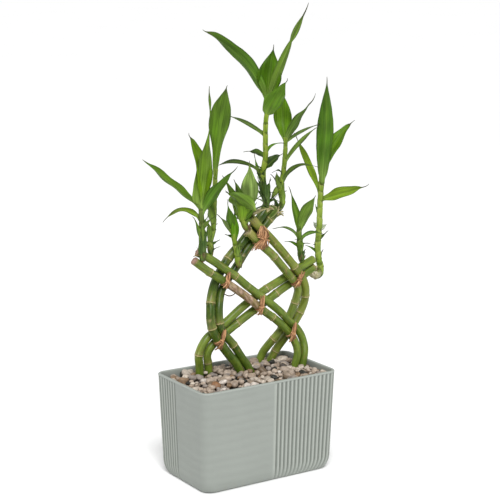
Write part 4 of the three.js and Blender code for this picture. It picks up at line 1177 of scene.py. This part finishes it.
def fray(shape, end, radius, fibres, rng):
    """Torn fibres that stand out round a cut end."""
    middle, heading, normal, across = end
    count, reach = fibres
    for _ in range(count):
        angle, spread = rng.uniform(0, math.tau), rng.uniform(0.1, 0.75)
        out = normal * math.cos(angle) + across * math.sin(angle)
        side = heading.cross(out) * rng.uniform(-0.6, 0.6)
        start = middle + out * radius * 0.98 - heading * rng.uniform(0.5, 3.0)
        tip = start + (out * spread + side) * reach * 0.6 + heading * reach * (1 - 0.8 * spread)
        route = [start, start + out * 0.6 + heading * reach * 0.3,
                 tip.lerp(start, 0.4) + heading * reach * 0.2, tip]
        tone = rng.choice(FRAY_TONES)
        ribbon(shape, route, rng.uniform(0.5, 1.1), 0.16, 0.4, tone, rng)


FINISHES = {}


def shared_finish(kind):
    """One finish for all the pieces of a kind."""
    makers = {"cane": cane_finish, "leaf": leaf_finish, "raffia": raffia_finish}
    if kind not in FINISHES:
        FINISHES[kind] = makers[kind]()
    return FINISHES[kind]


# Shoots
# A leaf that is narrower than this is a dark bract
SLIM = 3

# Distances along a stem, a burl and a leaf between their rows, points in a ring of a stem and
# a burl, rows in a hair, and husks at a stem's foot
STEM_STEP, BURL_STEP, LEAF_STEP = 0.8, 0.7, 2.2
STEM_SIDES, BURL_SIDES, HAIR_STEPS, HUSKS = 14, 18, 4, 5

# Heading in plan of what points to the right in the photo
PHOTO_RIGHT = 327

STEM_MARKS = {
    "mouth": srgb(176, 172, 124), "ring": srgb(70, 76, 38), "husk": srgb(140, 106, 82),
    "dark foot": srgb(58, 86, 34), "light foot": srgb(104, 128, 66),
}
DRY_TIP = srgb(70, 66, 44)
UNDERSIDE = srgb(120, 146, 84)
STRIPE_LIGHT = Vector((0.04, 0.05, 0.01))


def blade_share(t, width, widest, look):
    """Share of the full width at a share of the length, from the sheath to the tip."""
    root = min(0.8, max(0.3, 2.6 / width))
    if t < widest:
        rise = math.sin((t / widest) * math.pi / 2)
        return root + (1 - root) * rise ** look.get("rise", 1.4 + 6 * max(0, widest - 0.45))
    fall = (t - widest) / (1 - widest)
    return max(math.cos(fall * math.pi / 2), 0.0) ** look.get("fall", max(0.8, 3.7 - 5 * widest))


def blade(shape, stem, foot, leaf, stem_radius, rng, tones, look):
    """A leaf: a sheath round the stem that opens into a folded, waved and twisted blade."""
    height, bearing, length, lean, arch, width, turn, widest, hair, shift = leaf
    stripes, pinch = look.get("stripes", 0.2), look.get("pinch")
    opened, clasp = look.get("open", 0.2), look.get("clasp")
    if width < SLIM:
        width, hair = width * 1.35, min(hair, 1.2)
    hair_root = min(0.3 + 0.05 * hair, 0.75)
    pale, mid, dark, dry = tones
    # rim: tone of the blade's edges; by default a darker green, painted shade where the curled
    # edges turn from the light, and for a split bract its own dry colour
    rim = look.get("rim") or dark * 0.5
    spot = stem.at_height(foot + height)
    root = stem.spot(spot) - stem.heading(spot) * 1.5 + Vector(shift)
    plan, tilt = math.radians(bearing), math.radians(lean)
    outward = Vector((math.cos(plan), math.sin(plan), 0))
    chord = outward * math.sin(tilt) + Vector((0, 0, math.cos(tilt)))
    face = outward * -math.cos(tilt) + Vector((0, 0, math.sin(tilt)))
    tip = root + chord * length
    middle = (root + tip) / 2 + face * (2 * arch)
    side = Matrix.Rotation(math.radians(turn), 3, chord) @ chord.cross(face)
    right_phase, left_phase = rng.uniform(0, 6.28), rng.uniform(0, 6.28)
    waves = rng.uniform(1.4, 2.6)
    twist = rng.uniform(-0.35, 0.35)
    curl_tip = rng.uniform(-1, 1)
    seed = rng.uniform(0, 500)
    bend = (side * curl_tip + face * rng.uniform(-0.6, 0.6)) * 0.35

    def half_width(t):
        half = max(width / 2 * blade_share(min(t, 0.999), width, widest, look),
                   mix(0.45, hair_root, smooth(0.8, 1.0, t)))
        half *= 1 + 0.07 * noise.noise(Vector((seed, t * length * 0.11, 2.0)))
        if pinch is None:
            return half
        if t <= pinch:
            return min(half, 1.15 + (pinch - t) * 22)
        past = min((t - pinch) / (1 - pinch), 1.0)
        return max(1.15 * (1 - past) + 2.3 * math.sin(math.pi * past ** 0.8), hair_root)

    def tone_at(t, u, wave):
        tone = mix(pale, mid, smooth(0.03, 0.3, t))
        # The tone follows the edge waves: painted light and shade on the waves
        tone = mix(tone, dark, 0.7 * smooth(0.35, 1.0, t) + 0.16 * wave)
        stripe = noise.noise(Vector((seed, u * 3.4, t * 1.2)))
        tone = mix(tone, tone * 1.7 + STRIPE_LIGHT, stripes * smooth(0, 0.35, stripe))
        tone = mix(tone, dark * 0.7, 0.4 * smooth(0.0, 0.35, -stripe))
        tone = mix(tone, pale, 0.45 * hill(u, 0.13) * (1 - 0.7 * t))
        # Painted shade along the edges, or a split bract's dry edge
        tone = mix(tone, rim, 0.7 * smooth(0.72, 1.0, abs(u)) * smooth(0.12, 0.35, t))
        edge = noise.noise(Vector((seed, u * 2, t * length * 0.08)))
        tone = tone * (1 + 0.4 * edge)
        return mix(tone, dry, smooth(0.92, 1.0, t + 0.04 * edge) if hair else 0.0)

    steps = max(10, round(length / LEAF_STEP))
    cells = 8 if width > 6 else 4
    stations = [(i / steps, None) for i in range(steps)] + [(0.985, None)]
    if hair:
        stations += [(1.0, k / HAIR_STEPS) for k in range(1, HAIR_STEPS + 1)]
    else:
        stations += [(1.0, 0.0)]
    top, under = [], []
    for t, whisker in stations:
        inverse = 1 - t
        centre = root * inverse ** 2 + middle * (2 * inverse * t) + tip * t ** 2
        forward = ((middle - root) * inverse + (tip - middle) * t).normalized()
        across = (side - forward * side.dot(forward)).normalized()
        across = Matrix.Rotation(twist * smooth(0.35, 1.0, t), 3, forward) @ across
        up = across.cross(forward)
        half = half_width(t)
        if whisker is not None:
            centre = centre + (forward + bend * whisker) * hair * whisker
            half = mix(hair_root, 0.2, whisker)
        sheath = 1 - smooth(0.03, opened, t)
        half = mix(half, max(min(half, stem_radius * 1.5), stem_radius * 1.25), sheath)
        if clasp:
            centre = centre - up * stem_radius * 0.95
        elif width > 4:
            centre = centre - up * stem_radius * 0.85 * (1 - smooth(0.0, 0.13, t))
        curl = 3.2 * sheath + (0.5 + 0.55 * smooth(0.72, 1.0, t)) * (1 - sheath)
        bow = 2 * half / curl
        sway = width * 0.1 * smooth(0.12, 0.4, t) * (1 - smooth(0.9, 1.0, t))
        thick = 0.16 + 0.14 * (1 - t)
        row_top, row_under = [], []
        for k in range(cells + 1):
            u = 2 * k / cells - 1
            angle = u * curl / 2
            wave = math.sin(math.tau * waves * t + (right_phase if u > 0 else left_phase))
            lift = bow * (1 - math.cos(angle)) + sway * wave * u * u
            lift += 0.3 * half * abs(u) * (1 - sheath)
            lift -= 0.25 * hill(u, 0.2) * (1 - sheath) * min(width / 10, 1)
            place = centre + across * (bow * math.sin(angle)) + up * lift
            tone = tone_at(t, u, wave)
            grain = (u * half + seed, seed, t * length)
            thin = thick * (1 - 0.75 * abs(u) ** 3)
            row_top.append(shape.add(place + up * thin * 0.5, tone, grain))
            back = mix(tone, UNDERSIDE, 0.18) * 0.97
            row_under.append(shape.add(place - up * thin * 0.5, back, grain))
        top.append(row_top)
        under.append(row_under)
    shape.close_sheet(top, under)


def build_burl(shape, route, radii):
    """The swollen, papery foot of a shoot."""
    path = Path(route)
    seed = Vector((route[0][0], 4.0, 9.0))

    def radius_at(s, angle):
        place = s / path.length * (len(radii) - 1)
        cell = min(int(place), len(radii) - 2)
        body = radii[cell] + (radii[cell + 1] - radii[cell]) * (place - cell)
        around = on_rod(angle, s * 0.22) * 1.7 + seed
        return body * (0.94 + 0.16 * noise.noise(around) + 0.06 * math.sin(s * 2.1))

    def tint_at(s, angle):
        around = on_rod(angle, s * 0.16) * 2.2 + seed
        tone = mix(srgb(184, 176, 124), srgb(240, 230, 204), 0.5 + 0.9 * noise.noise(around))
        tone = mix(tone, srgb(110, 124, 58), smooth(0.35, 1.0, s / path.length))
        return mix(tone, srgb(92, 66, 44), 0.8 * smooth(0.28, 0.42, noise.noise(around * 1.9)))

    distances = even_steps(path.length, BURL_STEP)
    shape.skin(tube(shape, path, distances, BURL_SIDES, radius_at, tint_at))


def build_shoot(name, settings):
    """A stem with its sheaths, leaves, bracts and husks."""
    (low, high), route, leaves = SHOOTS[name]
    rng = random.Random(int(name) * 17 + 3)
    stem = Path(route)
    shape = Shape()
    length = stem.length
    shade_tone, light_tone = STEM_TONES[name]
    sheaths = []
    at = 2.0
    while at < length:
        span = rng.uniform(7.5, 12.0)
        sheaths.append((at, span, rng.uniform(0, math.tau), rng.uniform(1.2, 2.6)))
        at += span

    def sheath_at(s, angle):
        """Share of the way up the sheath round a place, and distance below its mouth."""
        for start, span, bearing, slant in sheaths:
            mouth = start + span + slant * math.cos(angle - bearing)
            if s < mouth:
                return min(max((s - start) / (mouth - start), 0.0), 1.0), mouth - s
        return 0.0, 9.0

    def radius_at(s, angle):
        body = (low + (high - low) * s / length) * (0.74 + 0.26 * smooth(0, 3, s))
        share, below = sheath_at(s, angle)
        body *= 1.0 + 0.15 * share - 0.1 * smooth(0.5, 0.0, below)
        return body * (1 + 0.05 * noise.noise(on_rod(angle, s * 0.1)))

    def tint_at(s, angle):
        around = on_rod(angle, s * 0.12) + Vector((int(name) * 5, 0, 0))
        share, below = sheath_at(s, angle)
        streak = noise.noise(on_rod(angle, s * 0.05, 4))
        tone = mix(shade_tone, light_tone, 0.25 + 0.5 * share + 0.6 * streak)
        tone = mix(tone, STEM_MARKS["mouth"], 0.6 * hill(below, 0.5))
        tone = mix(tone, STEM_MARKS["ring"], 0.65 * hill(share - 0.03, 0.05))
        reach = DARK_FEET.get(name, 0)
        if s < reach:
            deep = mix(STEM_MARKS["dark foot"], STEM_MARKS["light foot"], 0.4 + 1.2 * streak)
            tone = mix(tone, deep, 0.9 * smooth(reach, reach * 0.7, s))
        husk = smooth(0.0, 0.4, noise.noise(around * 2.1)) * (1 - smooth(4, 12, s))
        return mix(tone, STEM_MARKS["husk"], 0.85 * husk)

    distances = even_steps(length, STEM_STEP)
    shape.skin(tube(shape, stem, distances, STEM_SIDES, radius_at, tint_at))
    foot = route[0][2]
    mid, dark, pale = Vector(settings.leaf), Vector(settings.leaf_deep), Vector(settings.sheath)
    for number, row in enumerate(leaves):
        leaf = Leaf(*row)
        jitter = rng.uniform(0.92, 1.08)
        look = LOOKS.get(f"{name}.{number}", {})
        low_tone = look.get("low", mid) * jitter
        high_tone = look.get("high", dark) * jitter
        tones = (mix(pale, low_tone, 0.35), low_tone, high_tone, DRY_TIP)
        if leaf.width < SLIM:
            tones = BRACT_TONES["dark"]
        clasped = radius_at(stem.at_height(foot + leaf.height), 0)
        blade(shape, stem, foot, leaf, clasped, rng, tones, look)
    for kind, *rows in BRACTS.get(name, ()):
        tones = BRACT_TONES[kind]
        for leaf in (Leaf(*row) for row in rows):
            clasps = leaf.lean < 30
            clasped = radius_at(stem.at_height(foot + leaf.height), 0) * (1.1 if clasps else 0.9)
            if leaf.width < SLIM:
                leaf = leaf._replace(turn=60 * math.cos(math.radians(leaf.bearing - PHOTO_RIGHT)))
            look = {"stripes": 0.35 if leaf.width > 4 else 0.0, "open": 0.12, "clasp": clasps,
                    "rise": 1.5 if leaf.width > 20 else 0.8}
            if kind == "split":
                look["rim"] = tones[3]
            blade(shape, stem, foot, leaf, clasped, rng, tones, look)
    husk_look = {"stripes": 0.0, "open": 0.12, "clasp": True}
    for k in range(HUSKS):
        bearing = 137 * k + rng.uniform(-20, 20)
        husk = Leaf(0.4 + 1.2 * k, bearing, 9.5 - k, 24 - 3 * k, 1.5, 5.2, 0, 0.4, 0.6)
        if stem.heading(stem.at_height(foot + husk.height)).z > 0.6:
            blade(shape, stem, foot, husk, low * 0.9, rng, BRACT_TONES["husk"], husk_look)
    if name in BURLS:
        build_burl(shape, *BURLS[name])
    shape.make(f"shoot_{name}_leaves", shared_finish("leaf"), [f"shoot_{name}"])


# Ties
# Depths of a strand's five points, from the bunch's top to its foot, and of the knot's middle
BUNCH_DEPTHS, KNOT_DEPTH = (5.4, 5.1, 4.9, 4.7, 5.2), 4.2

# How far a band stands off its cane's skin, and how finely it is cut
BAND_LIFT, BAND_STEPS, BAND_SIDES = 0.45, 28, 6

# How finely a loose strand is cut along its length and round it
RIBBON_STEP, RIBBON_SIDES = 0.7, 8

# Bands round each cane under a knot and under the large top one, and humps of a knot
BANDS, TOP_BANDS, HUMPS = 3, 5, 6


def strand_route(bunch, share, rng):
    """One strand of a bunch, from the top over the knot to the foot."""
    (top_x, top_z, top_wide), (mid_x, mid_z, mid_wide), (foot_x, foot_z, foot_wide) = bunch
    top_y, upper_y, mid_y, lower_y, foot_y = BUNCH_DEPTHS
    up, down = rng.uniform(0.62, 1.02), rng.uniform(0.68, 1.0)
    height = mid_z + (top_z - mid_z) * up
    depth = mid_z + (foot_z - mid_z) * down
    lift = rng.uniform(0.0, 1.2)
    return [
        (mid_x + (top_x - mid_x) * up + top_wide * share, top_y - lift * 0.6, height),
        (mid_x + (top_x - mid_x) * up * 0.55 + mid_wide * share * 0.9, upper_y - lift * 0.8,
         mid_z + (height - mid_z) * 0.5),
        (mid_x + mid_wide * share * 0.5, mid_y - lift, mid_z),
        (mid_x + (foot_x - mid_x) * down * 0.5 + mid_wide * share, lower_y - lift,
         mid_z + (depth - mid_z) * 0.5),
        (mid_x + (foot_x - mid_x) * down + foot_wide * share,
         foot_y + rng.uniform(-1.8, 1.2), depth)]


def build_tie(name, settings):
    """A bunch of strands, bands round the two canes, and a knot."""
    strands, front_cane, back_cane, bunch = TIES[name]
    rng = random.Random(sum(ord(c) for c in name))
    shape = Shape()
    light, deep = Vector(settings.straw), Vector(settings.straw_deep)
    mid_x, mid_z, mid_wide = bunch[1]
    for k in range(strands):
        share = (k + 0.5) / strands - 0.5 + rng.uniform(-0.1, 0.1)
        tone = mix(deep * rng.choice((0.3, 0.6, 0.9, 1.0)), light, rng.random() ** 1.3)
        route = strand_route(bunch, share, rng)
        ribbon(shape, route, rng.uniform(0.5, 1.05), rng.uniform(0.14, 0.24), 0.3, tone, rng)
    for k in range(TOP_BANDS if name == "top" else BANDS):
        along = (k - 1) * 0.9 + rng.uniform(-0.3, 0.3)
        for cane in (front_cane, back_cane):
            band_round(shape, cane, (mid_x, mid_z), along, mix(deep, light, rng.random()), rng)
    size = 0.55 * mid_wide
    knot = Vector((mid_x, KNOT_DEPTH, mid_z))
    for k in range(HUMPS):
        turn = k * math.tau / HUMPS + rng.uniform(-0.4, 0.4)
        arm = Vector((math.cos(turn), 0, math.sin(turn) * 1.2)) * size
        hump = rng.uniform(0.7, 1.5)
        sunk, raised = Vector((0, 1.0, 0)), Vector((0, hump * 0.6, 0))
        route = [knot - arm + sunk, knot - arm * 0.6 - raised, knot - Vector((0, hump, 0)),
                 knot + arm * 0.6 - raised, knot + arm + sunk]
        ribbon(shape, route, rng.uniform(0.6, 1.0), 0.4, 0.7, mix(deep, light, rng.random()), rng)
    shape.make(f"tie_{name}_raffia", shared_finish("raffia"), [f"tie_{name}"])


def band_round(shape, cane, near, along, tone, rng):
    """A closed strand round one cane, pulled tight."""
    radius, _, _, _, route = CANES[cane]
    path = Path(route)
    place = min(even_steps(path.length, 1.0), key=lambda s: math.hypot(
        path.spot(s).x - near[0], path.spot(s).z - near[1]))
    middle, heading, normal, across = frames(path, [place + along])[0]
    skew, wide, thick = rng.uniform(-0.8, 0.8), rng.uniform(0.45, 0.8), 0.2
    rings = []
    for i in range(BAND_STEPS):
        angle = math.tau * i / BAND_STEPS
        out = normal * math.cos(angle) + across * math.sin(angle)
        spot = middle + out * (radius + SWELL + BAND_LIFT) + heading * (skew * math.cos(angle))
        spots, tints, grains = [], [], []
        for k in range(BAND_SIDES):
            turn = math.tau * k / BAND_SIDES
            a, b = math.cos(turn) * thick, math.sin(turn) * wide
            spots.append(spot + out * a + heading * b)
            tints.append(tone * (1 + 0.2 * noise.noise(Vector((i * 0.3, k * 0.4, along)))))
            grains.append((a * 3, b * 3, i * 0.9))
        rings.append(shape.ring(spots, tints, grains))
    shape.skin(rings, closed=True)


def ribbon(shape, route, wide, thick, taper, tone, rng):
    """A short flat strand with twisted, thinning ends."""
    path = Path(route, 8)
    distances = even_steps(path.length, RIBBON_STEP, 6)
    phase = rng.uniform(0, 6.28)
    rings = []
    for distance, (middle, _, normal, across) in zip(distances, frames(path, distances)):
        share = distance / path.length
        width = wide * (taper + (1 - taper) * math.sin(math.pi * (0.15 + 0.7 * share)))
        roll = phase + 1.2 * share
        spots, tints, grains = [], [], []
        for k in range(RIBBON_SIDES):
            angle = math.tau * k / RIBBON_SIDES
            a, b = math.cos(angle) * thick, math.sin(angle) * width
            spots.append(middle + normal * (a * math.cos(roll) - b * math.sin(roll))
                         + across * (a * math.sin(roll) + b * math.cos(roll)))
            shade = noise.noise(Vector((distance * 0.4, k * 0.4, phase)))
            tints.append(tone * (0.92 + 0.2 * shade))
            grains.append((a * 3, b * 3, distance))
        rings.append(shape.ring(spots, tints, grains))
    shape.skin(rings)


# Settings and operators
def colour(name, note, value):
    """A colour setting."""
    return bpy.props.FloatVectorProperty(
        name=name, description=note, default=tuple(value), size=3, min=0.0, max=1.0,
        subtype="COLOR")


def size_of(name, note, value):
    """A length setting, with its default in millimetres."""
    return bpy.props.FloatProperty(
        name=name, description=note, default=value * MM, min=0.0, unit="LENGTH", precision=5)


class LB_PotSettings(bpy.types.PropertyGroup):
    glaze: colour("Glaze", "Colour of the smooth walls", srgb(138, 143, 137))
    ridge_highlight: colour("Ribs", "Colour on the crest of each rib", srgb(156, 161, 154))
    groove: colour("Grooves", "Colour in the bottom of each groove", srgb(98, 103, 97))
    groove_depth: size_of("Groove depth", "How deep the grooves are cut", 0.9)
    ripple: size_of("Ripple", "Height of the throwing ripples on the smooth walls", 0.2)


class LB_PebbleSettings(bpy.types.PropertyGroup):
    spacing: size_of("Spacing", "Distance between neighbouring pebbles", 6.3)
    smallest: size_of("Smallest", "Size of the smallest pebble", 4.4)
    largest: size_of("Largest", "Size of the largest pebble", 11.0)


class LB_CaneSettings(bpy.types.PropertyGroup):
    deep: colour("Deep green", "Darker green of the canes", srgb(70, 94, 20))
    light: colour("Light green", "Lighter green of the canes", srgb(122, 144, 46))
    ring: colour("Joint ring", "Colour of the pale ring at each joint", srgb(194, 182, 126))


class LB_ShootSettings(bpy.types.PropertyGroup):
    leaf: colour("Leaf", "Green of the open blade", srgb(94, 142, 22))
    leaf_deep: colour("Leaf tip", "Deeper green towards the tip", srgb(72, 116, 18))
    sheath: colour("Sheath", "Pale green where a leaf clasps its stem", srgb(148, 178, 84))


class LB_TieSettings(bpy.types.PropertyGroup):
    straw: colour("Straw", "Light colour of the raffia", srgb(212, 164, 120))
    straw_deep: colour("Deep straw", "Dark colour of the raffia", srgb(132, 90, 58))


class LB_StageSettings(bpy.types.PropertyGroup):
    sun: bpy.props.FloatProperty(
        name="Sun", description="Strength of the soft sun", default=2.8, min=0.0)
    softboxes: bpy.props.FloatProperty(
        name="Softboxes", description="Strength of the two softboxes", default=1.0, min=0.0)
    ambient: bpy.props.FloatProperty(
        name="Ambient", description="Brightness of the surroundings", default=0.5, min=0.0)


class LB_OT_pot(bpy.types.Operator):
    """Build the ribbed pot and finish the soil in it"""
    bl_idname = "lucky.pot"
    bl_label = "Pot"

    def execute(self, context):
        build_pot(context.scene.lb_pot)
        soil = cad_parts["soil"]
        soil.data.materials.clear()
        soil.data.materials.append(soil_finish())
        return {"FINISHED"}


class LB_OT_pebbles(bpy.types.Operator):
    """Lay the grit and the washed pebbles over the soil"""
    bl_idname = "lucky.pebbles"
    bl_label = "Pebbles"

    def execute(self, context):
        build_pebbles(context.scene.lb_pebbles)
        build_grit()
        return {"FINISHED"}


class LB_OT_canes(bpy.types.Operator):
    """Build the eight jointed canes of the lattice"""
    bl_idname = "lucky.canes"
    bl_label = "Canes"

    def execute(self, context):
        for name in CANES:
            build_cane(name, context.scene.lb_canes)
        return {"FINISHED"}


class LB_OT_shoots(bpy.types.Operator):
    """Build the nine leafy shoots"""
    bl_idname = "lucky.shoots"
    bl_label = "Shoots"

    def execute(self, context):
        for name in SHOOTS:
            build_shoot(name, context.scene.lb_shoots)
        return {"FINISHED"}


class LB_OT_ties(bpy.types.Operator):
    """Wind the raffia ties round the crossings"""
    bl_idname = "lucky.ties"
    bl_label = "Ties"

    def execute(self, context):
        for name in TIES:
            build_tie(name, context.scene.lb_ties)
        return {"FINISHED"}


class LB_OT_stage(bpy.types.Operator):
    """Set the floor, the lights and the camera"""
    bl_idname = "lucky.stage"
    bl_label = "Stage"

    def execute(self, context):
        scene = context.scene
        build_floor(scene)
        build_camera(scene)
        build_lights(scene, scene.lb_stage)
        build_surroundings(scene, scene.lb_stage)
        return {"FINISHED"}


# Stage
# Half the floor's side and its gap under the pot, in metres
FLOOR_REACH, FLOOR_GAP = 60.0, 0.0002

# The camera's place and what it looks at, and its focal length and picture width in pixels
CAMERA_PLACE, CAMERA_TARGET = (-721.3, -1120.85, 483.1), (0, -5.91, 216.57)
FOCAL_PIXELS, PICTURE_PIXELS, SENSOR_WIDTH = 1452.0, 500.0, 36.0

# The way to the sun, and the angle that it fills in degrees
TOWARDS_SUN, SUN_SOFTNESS = (-0.42, -0.82, 0.95), 24

# Softboxes: name, place in metres, power and size, and the place that they light
SOFTBOXES = (("side softbox", (1.3, -0.9, 0.9), 6.0, 0.9),
             ("rim softbox", (-0.9, 1.1, 1.1), 7.0, 1.0))
SOFTBOX_TARGET = (0, 0, 0.22)


def build_floor(scene):
    """The floor, just under the pot."""
    mesh = bpy.data.meshes.new("floor")
    reach = FLOOR_REACH
    corners = [(-reach, -reach, 0), (reach, -reach, 0), (reach, reach, 0), (-reach, reach, 0)]
    mesh.from_pydata(corners, [], [(0, 1, 2, 3)])
    floor = bpy.data.objects.new("floor", mesh)
    scene.collection.objects.link(floor)
    floor.location.z = -FLOOR_GAP
    mesh.materials.append(floor_finish())


def build_camera(scene):
    """The camera where the photo was taken from."""
    camera_data = bpy.data.cameras.new("camera")
    camera_data.sensor_width = SENSOR_WIDTH
    camera_data.lens = FOCAL_PIXELS / PICTURE_PIXELS * SENSOR_WIDTH
    camera_data.clip_end = 200.0
    camera = bpy.data.objects.new("camera", camera_data)
    camera.location = Vector(CAMERA_PLACE) * MM
    target = Vector(CAMERA_TARGET) * MM
    camera.rotation_euler = (target - camera.location).to_track_quat("-Z", "Y").to_euler()
    scene.collection.objects.link(camera)
    scene.camera = camera


def build_lights(scene, settings):
    """A soft sun from the front left and two softboxes."""
    sun_data = bpy.data.lights.new("soft sun", "SUN")
    sun_data.energy = settings.sun
    sun_data.angle = math.radians(SUN_SOFTNESS)
    sun = bpy.data.objects.new("soft sun", sun_data)
    sun.location = (-0.8, -1.6, 2.0)
    sun.rotation_euler = (-Vector(TOWARDS_SUN)).to_track_quat("-Z", "Y").to_euler()
    scene.collection.objects.link(sun)
    for name, place, power, size in SOFTBOXES:
        data = bpy.data.lights.new(name, "AREA")
        data.shape = "SQUARE"
        data.size = size
        data.energy = power * settings.softboxes
        light = bpy.data.objects.new(name, data)
        light.location = place
        aim = Vector(SOFTBOX_TARGET) - light.location
        light.rotation_euler = aim.to_track_quat("-Z", "Y").to_euler()
        scene.collection.objects.link(light)


def build_surroundings(scene, settings):
    """Even white light from all round."""
    world = bpy.data.worlds.new("surroundings")
    world.use_nodes = True
    backdrop = world.node_tree.nodes["Background"]
    backdrop.inputs["Color"].default_value = (1.0, 1.0, 1.0, 1.0)
    backdrop.inputs["Strength"].default_value = settings.ambient
    scene.world = world
    scene.view_settings.view_transform = "Standard"


class LB_PT_panel(bpy.types.Panel):
    bl_label = "Lucky bamboo"
    bl_idname = "LB_PT_panel"
    bl_space_type = "VIEW_3D"
    bl_region_type = "UI"
    bl_category = "Lucky bamboo"

    def draw(self, context):
        for operator, key, settings in GROUPS:
            box = self.layout.box()
            box.operator(operator.bl_idname)
            for field in settings.__annotations__:
                box.prop(getattr(context.scene, key), field)


# What is built in turn: operator, name of its settings, and their class
GROUPS = (
    (LB_OT_pot, "lb_pot", LB_PotSettings),
    (LB_OT_pebbles, "lb_pebbles", LB_PebbleSettings),
    (LB_OT_canes, "lb_canes", LB_CaneSettings),
    (LB_OT_shoots, "lb_shoots", LB_ShootSettings),
    (LB_OT_ties, "lb_ties", LB_TieSettings),
    (LB_OT_stage, "lb_stage", LB_StageSettings),
)


def register():
    """Add the settings, the operators and the panel."""
    for operator, key, settings in GROUPS:
        bpy.utils.register_class(settings)
        bpy.utils.register_class(operator)
        setattr(bpy.types.Scene, key, bpy.props.PointerProperty(type=settings))
    bpy.utils.register_class(LB_PT_panel)


def unregister():
    """Take the panel, the operators and the settings away."""
    bpy.utils.unregister_class(LB_PT_panel)
    for operator, key, settings in reversed(GROUPS):
        delattr(bpy.types.Scene, key)
        bpy.utils.unregister_class(operator)
        bpy.utils.unregister_class(settings)


def main():
    """Build everything, one operator after another."""
    register()
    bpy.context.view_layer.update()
    bpy.ops.lucky.pot()
    bpy.ops.lucky.pebbles()
    bpy.ops.lucky.canes()
    bpy.ops.lucky.shoots()
    bpy.ops.lucky.ties()
    bpy.ops.lucky.stage()


if __name__ == "__main__":
    main()
